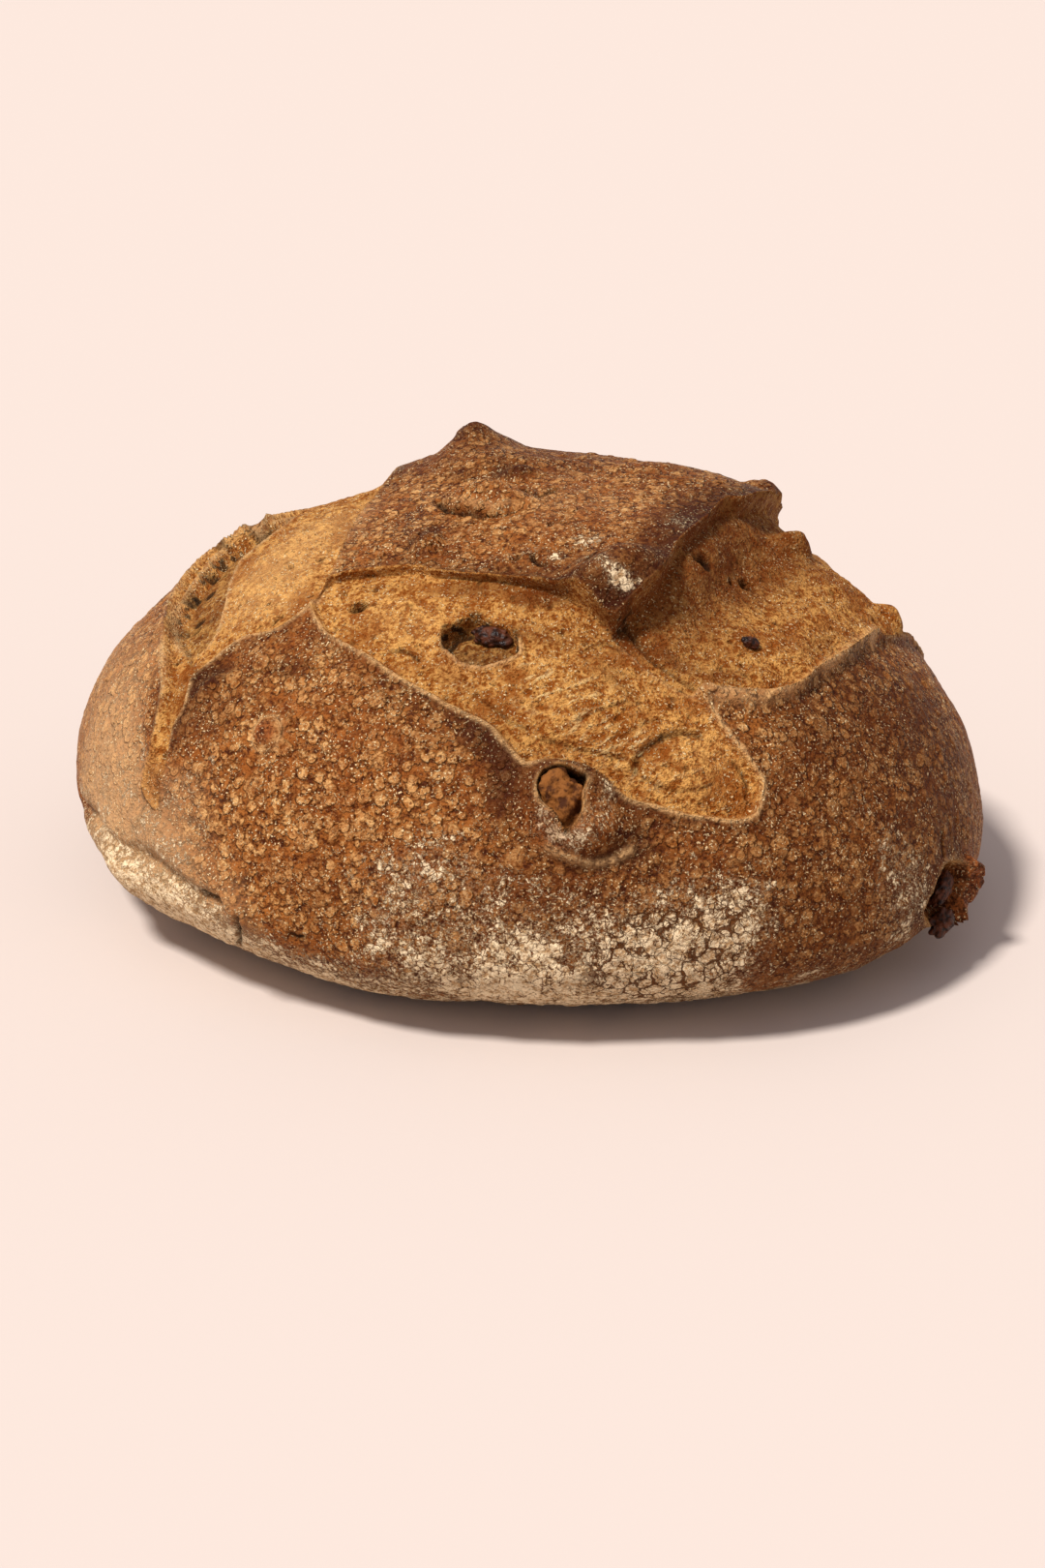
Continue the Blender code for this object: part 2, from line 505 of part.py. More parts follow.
def cuts():
    """Every cut and hollow, in the order in which they are made."""
    return [
        Cut([(True, FRONT_CUT_PX)], Spots(FRONT_FLOOR_PX, [], FLOOR_SPREAD, FLOOR_CALM), WALL_WIDTH),
        Cut(
            [(True, RIGHT_CUT_LIP_PX), (False, RIGHT_CUT_ABOVE), (True, RIGHT_CUT_RIM_PX)],
            Spots(RIGHT_FLOOR_PX, RIGHT_FLOOR_ABOVE, FLOOR_SPREAD, FLOOR_CALM), WALL_WIDTH,
        ),
        Cut(
            [(True, LEFT_CUT_PX), (False, LEFT_CUT_ABOVE), (True, LEFT_CUT_END_PX)],
            Spots(LEFT_FLOOR_PX, LEFT_FLOOR_ABOVE, FLOOR_SPREAD, FLOOR_CALM), WALL_WIDTH,
        ),
        Cut([(False, BACK_CUT_ABOVE)], Spots([], BACK_FLOOR_ABOVE, FLOOR_SPREAD, FLOOR_CALM), WALL_WIDTH),
        Cut([(True, TROUGH_PX)], level(TROUGH_FLOOR), WALL_WIDTH),
        Cut([(True, POCKET_PX)], level(POCKET_FLOOR), WALL_WIDTH),
        Cut([(True, SPLIT_PX)], level(SPLIT_FLOOR), WALL_WIDTH),
        Cut([(True, SIDE_HOLE_PX)], level(SIDE_HOLE_FLOOR), WALL_WIDTH),
    ]


def crumb_holes(points, height):
    """Sinks the open bubbles of the torn crumb."""
    for x, y, radius, floor in CRUMB_HOLES:
        centre = on_body(on_crust([(x, y)], floor * MM / 2))[0]
        apart = np.sqrt(((points - centre) ** 2).sum(axis=1)) / (radius * MM)
        height = height + (floor * MM - height) * smooth(-apart, -1.0, -0.5)
    return height


def creases(points, d):
    """The height of the grooves and ridges."""
    height = np.zeros(len(points))
    for half_width, rise, px in CREASES:
        line = Line(np.concatenate([on_crust([p]) for p in px]), np.zeros((len(px), 1)), False)
        away, _ = line.measure(points, d, 5 * half_width * MM)
        height += rise * MM * np.exp(-((away / (half_width * MM)) ** 2))
    return height


def loaf_points(d, quads):
    """The loaf's surface in these directions."""
    base = on_body(d)
    height = crust_height(base)
    lean = np.zeros_like(base)
    for cut in cuts():
        height, lean = cut.apply(base, d, height, lean)
    height = crumb_holes(base, height) + swelling(base, FLOOR_SWELLINGS) + creases(base, d)
    return base + height[:, None] * normals_of(base, quads) + lean


def cube_sphere(count):
    """Unit directions and quads of a cube's faces, count by count each, blown up to a sphere."""
    t = np.tan((np.arange(count + 1) / count * 2 - 1) * math.pi / 4)
    u, v = np.meshgrid(t, t, indexing="ij")
    one = np.ones_like(u)
    faces = [(one, u, v), (-one, v, u), (v, one, u), (u, -one, v), (u, v, one), (v, u, -one)]
    points = np.concatenate([np.stack(f, axis=-1).reshape(-1, 3) for f in faces])
    corner = (np.arange(count)[:, None] * (count + 1) + np.arange(count)).reshape(-1)
    quad = np.stack((corner, corner + count + 1, corner + count + 2, corner + 1), axis=-1)
    quads = np.concatenate([quad + k * (count + 1) ** 2 for k in range(6)])
    _, first, index = np.unique(np.round(points, 7), axis=0, return_index=True, return_inverse=True)
    return unit(points[first]), index.reshape(-1)[quads]


def normals_of(points, quads):
    a, b, c, d = (points[quads[:, k]] for k in range(4))
    face = np.cross(c - a, d - b)
    total = np.zeros_like(points)
    for k in range(4):
        for axis in range(3):
            total[:, axis] += np.bincount(quads[:, k], weights=face[:, axis], minlength=len(points))
    return unit(total)


def mesh_of(name, points, quads):
    mesh = bpy.data.meshes.new(name)
    mesh.from_pydata(points.tolist(), [], quads.tolist())
    mesh.shade_smooth()
    return mesh


def placed(name, mesh):
    """A new object of this mesh in the scene."""
    piece = bpy.data.objects.new(name, mesh)
    bpy.context.scene.collection.objects.link(piece)
    return piece


def cutter(name, mesh):
    """An object that only cuts others."""
    tool = placed(name, mesh)
    tool.hide_render = True
    tool.display_type = "WIRE"
    return tool


def material(name, colour, roughness):
    made = bpy.data.materials.new(name)
    made.use_nodes = True
    shader = made.node_tree.nodes["Principled BSDF"]
    shader.inputs["Base Color"].default_value = colour
    shader.inputs["Roughness"].default_value = roughness
    return made


def subtract(target, tool):
    cut = target.modifiers.new("Cut by " + tool.name, "BOOLEAN")
    cut.operation = "DIFFERENCE"
    cut.solver = "EXACT"
    cut.object = tool


def wrinkled(d, half_sizes, wrinkles, depth, seed):
    """A dried fruit or a nut: a rounded body, furrowed along great circles that are drawn at random."""
    draw = np.random.default_rng(seed)
    poles = unit(draw.normal(size=(wrinkles, 3)))
    phases = draw.uniform(0, math.pi, wrinkles)
    furrow = np.zeros(len(d))
    for pole, phase in zip(poles, phases):
        furrow += np.exp(-(((d @ pole - 0.5 * math.cos(phase)) / 0.16) ** 2))
    radius = 1 - depth * np.minimum(furrow, 1.6) + depth * 0.5
    return d * radius[:, None] * np.array(half_sizes) * MM


def frame_at(px, rise, turn):
    """The place, and axes along, across and out of the crust, at a pixel and a height above it."""
    out = on_crust([px], rise * MM)[0]
    right = unit(np.cross(UP, out))
    up = np.cross(out, right)
    cos, sin = math.cos(math.radians(turn)), math.sin(math.radians(turn))
    place = on_body(out[None])[0] + rise * MM * out
    return place, np.array((right * cos + up * sin, up * cos - right * sin, out))


def inlays(loaf, colours):
    """The raisins and the walnut, each in a socket of its own shape in the loaf."""
    d, quads = cube_sphere(INLAY_GRID)
    for name, px, rise, half_sizes, turn, wrinkles, depth, seed in PIECES:
        place, axes = frame_at(px, rise, turn)
        points = place + wrinkled(d, half_sizes, wrinkles, depth, seed) @ axes
        piece = placed(name, mesh_of(name, points, quads))
        piece.data.materials.append(colours[name.split("_")[0]])
        wider = points + SOCKET_EASE * unit(points - place)
        subtract(loaf, cutter("socket_of_" + name, mesh_of("socket_of_" + name, wider, quads)))


def table_top():
    """A block under the loaf, whose top cuts its flat base."""
    d, quads = cube_sphere(1)
    half = np.array((LOAF_WIDTH, LOAF_WIDTH, 0.01))
    corners = np.sign(d) * half - np.array((0, 0, half[2]))
    return cutter("under_the_base", mesh_of("under_the_base", corners, quads))


def main():
    for old in list(bpy.data.objects):
        bpy.data.objects.remove(old)
    colours = {name: material(name, colour, 0.7) for name, colour in COLOURS.items()}
    d, quads = cube_sphere(GRID)
    d = unit(d + FACING)
    loaf = placed("loaf", mesh_of("loaf", loaf_points(d, quads), quads))
    loaf.data.materials.append(colours["loaf"])
    thin = loaf.modifiers.new("Fewer faces", "DECIMATE")
    thin.ratio = LOAF_TRIANGLES / (2 * len(quads))
    subtract(loaf, table_top())
    inlays(loaf, colours)


if __name__ == "__main__":
    main()
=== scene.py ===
"""The looks of a raisin walnut sourdough loaf.

The loaf is worked from the same named sizes and marks as its solid, on a finer mesh, with blisters, torn
crumb, cracked flour and fine cracks. Metres, +Z up. Marks on the crust are pixels of the view that they
were read from, laid on the crust from there, and marks on the far side are millimetres seen from above.
Heights in the lists are millimetres above the smooth crust.
"""

import itertools
import math

import bpy
import numpy as np
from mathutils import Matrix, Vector


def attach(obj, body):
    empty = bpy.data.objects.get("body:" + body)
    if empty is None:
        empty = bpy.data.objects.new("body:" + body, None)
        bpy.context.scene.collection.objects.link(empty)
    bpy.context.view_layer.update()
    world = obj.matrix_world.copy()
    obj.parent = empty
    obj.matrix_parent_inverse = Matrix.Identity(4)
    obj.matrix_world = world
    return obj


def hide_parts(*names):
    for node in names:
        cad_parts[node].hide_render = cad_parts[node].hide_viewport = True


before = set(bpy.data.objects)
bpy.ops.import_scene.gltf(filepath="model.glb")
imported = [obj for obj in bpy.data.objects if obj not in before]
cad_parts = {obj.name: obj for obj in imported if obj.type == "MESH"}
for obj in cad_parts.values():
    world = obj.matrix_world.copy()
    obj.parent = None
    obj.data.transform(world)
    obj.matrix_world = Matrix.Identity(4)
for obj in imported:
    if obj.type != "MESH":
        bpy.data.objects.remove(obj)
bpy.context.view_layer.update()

MM = 0.001

# Driving dimensions
LOAF_WIDTH = 0.210
LOAF_DEPTH = 0.178
CROWN_HEIGHT = 0.093
HEART_HEIGHT = 0.022
UNDERSIDE_DROP = 0.030
SQUARENESS = 2.05
TURN = math.radians(-17)
BASE_ROUNDING = 0.010
BASE_SLICE = 0.0004
TRIM_START = 0.3
TRIM_SOFTNESS = math.radians(8)

# How the surface is worked. GRID counts the quads along each side of the cube that is blown up to the loaf,
# and FACING draws them to the side that the view shows.
CRUST_SPREAD = 0.011
FLOOR_SPREAD = 0.008
CRUST_CALM = 0.02
FLOOR_CALM = 1e-12
WALL_WIDTH = 0.0015
RIDGE_WIDTH = 0.0016
UNDERCUT_WIDTH = 0.0032
GRID = 224
FACING = np.array((0.0, -0.17, 0.22))
INLAY_GRID = 36
RAY_STEPS = 160
SWELLING_EDGE = 1.6
SWELLING_DEPTH = 0.03

# Round each cut: how far it is measured, the widths of its pale rim and its darker lip, the depths between
# which its wall gets painted shade of cavities, and how much the fine relief fades on the wall
CUT_REACH = 0.012
RIM_WIDTH = 0.0005
LIP_WIDTH = 0.0035
LIP_REACH = 0.011
CAVITY_SHADE_DEPTHS = (0.0028, 0.0042)
WALL_CALM = 0.8

# The view that the marks were read from
LOAF_WIDTH_PX = 939
PIXEL = LOAF_WIDTH / LOAF_WIDTH_PX
VIEW_CENTRE_PX = np.array((540.0, 810.0))
VIEW_TARGET = np.array((-0.0015, 0.0, 0.022))
VIEW_ELEVATION = math.radians(25)
VIEW_DISTANCE = 0.95
RIGHT = np.array((1.0, 0.0, 0.0))
UP = np.array((0.0, math.sin(VIEW_ELEVATION), math.cos(VIEW_ELEVATION)))
BACK = np.array((0.0, -math.cos(VIEW_ELEVATION), math.sin(VIEW_ELEVATION)))
EYE = VIEW_TARGET + VIEW_DISTANCE * BACK
HEART = np.array((0.0, 0.0, HEART_HEIGHT))

# The loaf's smooth outline in that view, clockwise from its left end, with the lifted crust left out
OUTLINE_PX = [
    (80, 757), (87, 722), (101, 690), (120, 662), (148, 638), (174, 616), (191, 594), (214, 570),
    (246, 549), (280, 533), (314, 521), (346, 512), (386, 503), (450, 490), (500, 481), (560, 474),
    (620, 478), (680, 487), (740, 505), (790, 530), (838, 566), (870, 596), (905, 630), (940, 662),
    (963, 684), (979, 710), (993, 743), (1005, 775), (1013, 808), (1017, 845), (1013, 885), (996, 925),
    (970, 957), (940, 978), (915, 993), (882, 1006), (843, 1015), (805, 1023), (748, 1031), (671, 1035),
    (595, 1038), (532, 1037), (474, 1033), (411, 1029), (366, 1023), (325, 1012), (290, 997),
    (245, 985), (197, 961), (160, 941), (130, 920), (106, 890), (89, 855), (79, 812),
]

# How far the crust stands above the smooth loaf: (x, y, height)
CRUST_SPOTS = [
    (490, 442, 9.0), (464, 456, 5), (446, 474, 3), (428, 486, 2.5), (400, 510, 0), (520, 452, 4),
    (560, 465, 1.6), (600, 468, 2), (640, 472, 2), (690, 479, 2.6), (740, 494, 4.6), (795, 508, 8.5),
    (757, 522, 6.5), (722, 550, 5.5), (704, 572, 5), (690, 592, 5), (660, 615, 5), (635, 632, 3.5),
    (645, 580, 3.5), (600, 600, 2), (600, 560, 1), (540, 570, 0.5), (480, 590, 0.5), (440, 560, 0.5),
    (400, 588, 0.5), (340, 598, 0), (600, 510, 0.5), (680, 520, 2), (520, 520, 0.5), (450, 520, 0),
]
CRUST_SPOTS_ABOVE = [
    (-14, 42, 6), (-4, 41, 2.5), (8, 42, 1), (30, 42, 0.5), (46, 36, 5), (-30, 52, 0), (0, 62, 0),
    (40, 60, 0), (70, 48, 0),
]

# The cuts' outlines: (x, y, rim, undercut), with the height of the crust's rim and how far the crust
# overhangs the floor of the cut
FRONT_CUT_PX = [
    (325, 623, 0.4, 0.6), (329, 609, 0.6, 1.0), (343, 598, 0.6, 1.4), (368, 592, 0.6, 1.8),
    (400, 590, 0.6, 1.8), (428, 587, 0.4, 1.2), (450, 592, 0.8, 2.0), (480, 595, 0.8, 2.2),
    (532, 600, 0.8, 2.2), (572, 605, 0.8, 2.2), (602, 619, 0.8, 2.4), (628, 636, 0.6, 2.4),
    (645, 638, 0, 0), (665, 650, 0, 0), (685, 670, 0, 0), (708, 690, 0, 0), (724, 708, 0, 0),
    (731, 732, 0.6, 0.4), (744, 753, 0.6, 0.4), (764, 776, 0.6, 0.4), (780, 798, 0.8, 0.4),
    (786, 815, 0.8, 0.4), (776, 840, 0.8, 0.4), (748, 843, 0.8, 0.4), (712, 838, 0.8, 0.4),
    (678, 830, 0.9, 0.4), (651, 823, 0.9, 0.4), (634, 807, 1.2, 0.6), (616, 794, 1.4, 0.8),
    (590, 785, 1.4, 0.8), (565, 781, 1.0, 0.6), (543, 784, 0.8, 0.4), (529, 769, 0.8, 0.4),
    (512, 750, 0.8, 0.4), (486, 735, 0.8, 0.4), (449, 717, 0.8, 0.4), (416, 698, 0.8, 0.4),
    (385, 678, 0.8, 0.4), (350, 658, 0.8, 0.4), (332, 642, 0.6, 0.4),
]
RIGHT_CUT_LIP_PX = [
    (640, 640, 0, 0), (654, 628, 0.6, 1.2), (672, 613, 0.8, 1.8), (694, 591, 0.8, 1.4),
    (706, 565, 0.8, 1.0), (724, 549, 0.8, 1.0), (746, 530, 0.8, 1.0), (758, 518, 0.8, 0.8),
    (778, 518, 0.6, 0.8), (800, 512, 0.4, 0.8),
]
RIGHT_CUT_ABOVE = [
    (57, 34, 0.4, 0.8), (58, 44, 0.4, 0.8), (68, 49, 0.4, 0), (79, 42, 0.6, 0), (87, 28, 0.8, 0),
    (90, 13, 1.4, 0),
]
RIGHT_CUT_RIM_PX = [
    (945, 656, 2.2, 0.6), (933, 658, 2.2, 0.6), (912, 659, 2.0, 0.6), (900, 655, 2.6, 0.8),
    (887, 662, 2.6, 1.0), (873, 673, 2.4, 1.0), (853, 685, 2.4, 1.0), (836, 696, 2.4, 1.0),
    (819, 709, 2.4, 1.0), (794, 716, 2.4, 1.0), (766, 714, 2.0, 0.8), (741, 711, 1.4, 0.4),
    (728, 708, 0.8, 0), (719, 710, 0.3, 0), (698, 693, 0.3, 0), (673, 673, 0.3, 0), (655, 655, 0.3, 0),
]
LEFT_CUT_PX = [
    (330, 608, 0.3, 0), (322, 619, 0.5, 0.2), (315, 627, 0.5, 0.2), (297, 640, 0.5, 0.2),
    (279, 650, 0.5, 0.2), (254, 656, 0.5, 0.2), (239, 666, 0.6, 0.3), (223, 679, 1.0, 0.4),
    (203, 696, 1.4, 0.6), (196, 707, 1.2, 0.5), (188, 730, 0.4, 0), (177, 750, 0.3, 0),
    (171, 781, 0.2, 0), (164, 810, 0.2, 0), (160, 832, 0, 0), (148, 812, 0, 0), (156, 780, 0.2, 0),
    (164, 745, 0.3, 0), (170, 705, 0.5, 0), (172, 670, 0.8, 0.3), (176, 640, 1.6, 0.8),
    (182, 618, 1.6, 0.4), (194, 597, 1.6, 0.4), (213, 574, 1.6, 0.4), (233, 555, 1.6, 0.4),
    (252, 542, 1.8, 0.4), (275, 532, 1.6, 0.4),
]
LEFT_CUT_ABOVE = [
    (-60, 36, 1.4, 0.4), (-56, 45, 0.8, 0), (-46, 51, 0.4, 0), (-36, 49, 0.4, 0), (-31, 38, 0.4, 0),
]
LEFT_CUT_END_PX = [(386, 511, 0.2, 0), (364, 538, 0.2, 0), (351, 566, 0.2, 0), (341, 589, 0.3, 0)]
BACK_CUT_ABOVE = [
    (-22, 50, 0.4, 0.6), (-12, 45, 0.6, 1.6), (6, 45, 0.6, 1.8), (26, 44, 0.6, 1.8), (42, 40, 0.6, 1.6),
    (51, 41, 0.4, 0.6), (53, 49, 0.8, 0.4), (47, 58, 0.9, 0.4), (32, 67, 0.9, 0.4), (10, 71, 0.9, 0.4),
    (-10, 66, 0.9, 0.4), (-22, 57, 0.6, 0.4),
]

# The floors of the cuts: (x, y, height)
FRONT_FLOOR_PX = [
    (340, 625, -1.6), (372, 606, -2.6), (400, 608, -2.4), (440, 604, -2), (480, 614, -2), (530, 618, -2.2),
    (575, 626, -2.4), (610, 646, -3), (640, 660, -3.4), (380, 650, -1.6), (430, 680, -1.4),
    (450, 650, -2.2), (500, 690, -1.6), (560, 670, -2.4), (500, 720, -1.2), (540, 750, -1.2),
    (600, 700, -2), (590, 760, -1.4), (660, 690, -2.4), (700, 720, -2), (640, 740, -1.8), (640, 790, -1.6),
    (700, 760, -1.8), (740, 790, -1.8), (700, 820, -1.4), (760, 825, -1.6),
]
RIGHT_FLOOR_PX = [
    (664, 645, -4), (690, 612, 0.5), (712, 580, 1.5), (735, 556, 2), (765, 535, 2.5), (790, 530, 2.5),
    (676, 662, -5), (704, 657, -6), (724, 645, -6.5), (745, 628, -6.5), (763, 612, -6.5),
    (788, 596, -5.5), (804, 570, -2.5), (716, 690, -3), (730, 672, -3.5), (741, 700, -2.6),
    (768, 665, -2), (775, 640, -2.6), (800, 620, -2.2), (815, 660, -0.8), (790, 695, -1.6),
    (835, 620, 0), (840, 672, -0.8), (860, 640, 0.6), (880, 640, 1.0), (885, 612, 3.0), (855, 592, 2.4),
    (830, 580, 1.8), (818, 556, 1.8), (910, 640, 1.8), (930, 650, 1.6),
]
RIGHT_FLOOR_ABOVE = [
    (61, 38, -4.5), (61, 28, -2.5), (66, 14, 0.2), (71, 17, 0.6), (78, 13, 0.6), (74, 28, -0.4),
    (66, 42, -3), (80, 32, -1), (84, 14, 0.4),
]
LEFT_FLOOR_PX = [
    (318, 612, -1.6), (335, 570, -1.4), (350, 538, -0.6), (372, 516, 0), (320, 542, 0), (300, 558, 0),
    (290, 600, -0.8), (260, 600, -0.8), (300, 630, -1.8), (250, 640, -1.8), (225, 665, -2.2),
    (200, 680, -2.4), (196, 640, -2), (213, 604, -1.6), (234, 576, -1.2), (268, 548, -1),
    (182, 660, -3), (183, 700, -2.4), (176, 735, -1.6), (166, 770, -1.4), (160, 800, -1),
    (240, 610, -1.2), (270, 570, -1.2),
]
LEFT_FLOOR_ABOVE = [(-52, 36, -1.6), (-44, 44, -1.4), (-36, 40, -1)]
BACK_FLOOR_ABOVE = [
    (-14, 52, -3), (8, 51, -3.6), (30, 50, -3.6), (50, 46, -3), (46, 54, -1.6), (26, 60, -1.4),
    (2, 62, -1.4), (-14, 58, -1.4),
]

# Swellings: (x, y, height, half length, half width, turn in degrees), in millimetres and from the view's
# right hand anticlockwise. The first rise from the crust before it is cut, the others also from the floors.
CRUST_SWELLINGS = [
    (645, 586, 7.0, 12, 8, 12), (615, 612, 2.4, 7, 4, -25), (498, 496, 5.8, 11, 5.2, -4),
    (538, 484, 2.2, 5, 3, 0), (494, 449, 3.8, 12, 8, 0), (490, 441, 1.8, 5, 5, 0),
    (796, 508, 3.0, 5.5, 5, 0), (437, 555, 3.2, 3.4, 5.4, 0), (516, 580, 0.8, 4, 2.5, 0),
    (592, 832, 6.0, 11, 11.5, 0), (618, 866, 2.6, 10, 5, 20), (276, 755, 1.4, 4.2, 4.2, 0),
    (242, 943, 1.8, 5, 5, 0), (190, 905, 2.6, 26, 6, -32), (110, 885, 2.6, 12, 7, -45),
    (826, 548, 2.4, 4.5, 3, -30), (216, 706, 1.6, 6, 3, 35), (900, 652, 1.2, 5, 3, 25),
]
FLOOR_SWELLINGS = [
    (715, 800, 1.6, 11, 7, -20), (926, 640, 3.4, 4, 4, 0), (832, 553, 4.6, 6, 4, -30),
    (500, 660, 0.8, 9, 6, 0), (610, 730, 0.8, 14, 9, -40), (770, 650, 0.8, 9, 6, 20),
    (385, 625, 0.6, 7, 5, 0),
]

# Small hollows: outlines with rims and undercuts as above, and the height of each floor
POCKET_PX = [
    (457, 658, 0.4, 0.5), (457, 644, 0.4, 0.6), (470, 637, 0.5, 0.8), (488, 629, 0.5, 0.8),
    (501, 637, 0.6, 1.0), (520, 640, 0.6, 1.0), (531, 652, 0.6, 0.6), (532, 666, 0.8, 0.2),
    (517, 677, 1.1, 0), (498, 683, 1.2, 0), (480, 680, 1.0, 0), (467, 670, 0.7, 0.2),
]
POCKET_FLOOR = -6.0
SPLIT_PX = [
    (560, 822, 0.5, 0.4), (562, 804, 0.5, 0.6), (576, 797, 0.5, 0.6), (592, 800, 0.5, 0.6),
    (607, 809, 0.5, 0.5), (603, 823, 0.4, 0.4), (604, 838, 0.4, 0.3), (596, 852, 0.3, 0.2),
    (586, 858, 0.3, 0), (580, 843, 0.4, 0), (568, 833, 0.5, 0),
]
SPLIT_FLOOR = -1.5
TROUGH_PX = [
    (300, 536, 0.8, 0), (284, 548, 0.9, 0.2), (265, 561, 0.9, 0.3), (245, 577, 0.9, 0.4),
    (236, 594, 0.9, 0.4), (230, 614, 0.9, 0.4), (223, 636, 0.8, 0.3), (212, 656, 0.5, 0.2),
    (198, 668, 0.3, 0), (184, 662, 0.4, 0.2), (179, 643, 0.8, 0.4), (184, 622, 1.0, 0.4),
    (196, 601, 1.0, 0.4), (214, 579, 1.0, 0.4), (234, 560, 1.0, 0.4), (253, 547, 1.0, 0.4),
    (276, 537, 1.0, 0.2),
]
TROUGH_FLOOR = -4.6
SIDE_HOLE_PX = [
    (976, 898, 0.5, 0.3), (986, 892, 0.5, 0.4), (996, 896, 1.0, 0.4), (995, 910, 2.0, 0.4),
    (989, 922, 2.0, 0.4), (984, 938, 2.0, 0.4), (974, 950, 1.2, 0.4), (960, 952, 0.6, 0.4),
    (956, 942, 0.4, 0.4), (962, 928, 0.4, 0.4), (969, 912, 0.4, 0.4),
]
SIDE_HOLE_FLOOR = -4.5

# Open bubbles of the crumb: (x, y, radius, height of the floor)
CRUMB_HOLES = [
    (375, 627, 2.6, -5.5), (268, 544, 2.6, -5.5), (229, 586, 2.4, -5.5), (243, 570, 2.0, -5),
    (203, 634, 2.2, -5), (214, 606, 2.2, -5), (728, 583, 2.4, -2), (771, 601, 2.6, -8),
    (905, 645, 1.8, -3),
]

# Pieces set in the loaf: name, place in pixels, height of the middle, half sizes, turn in degrees,
# number and depth of its wrinkles, and a seed
PIECES = [
    ("raisin_pocket", (509, 658), -4.7, (4.8, 3.1, 2.6), -12, 14, 0.16, 3),
    ("raisin_side_upper", (973, 918), -2.9, (5.4, 2.6, 2.5), 62, 16, 0.16, 7),
    ("raisin_side_lower", (985, 956), 1.6, (4.6, 3.2, 3.0), 24, 14, 0.18, 11),
    ("raisin_crumb", (776, 664), -1.2, (2.3, 1.4, 1.3), -20, 8, 0.12, 15),
    ("walnut", (583, 827), 1.3, (5.2, 6.6, 3.4), 12, 7, 0.2, 19),
]
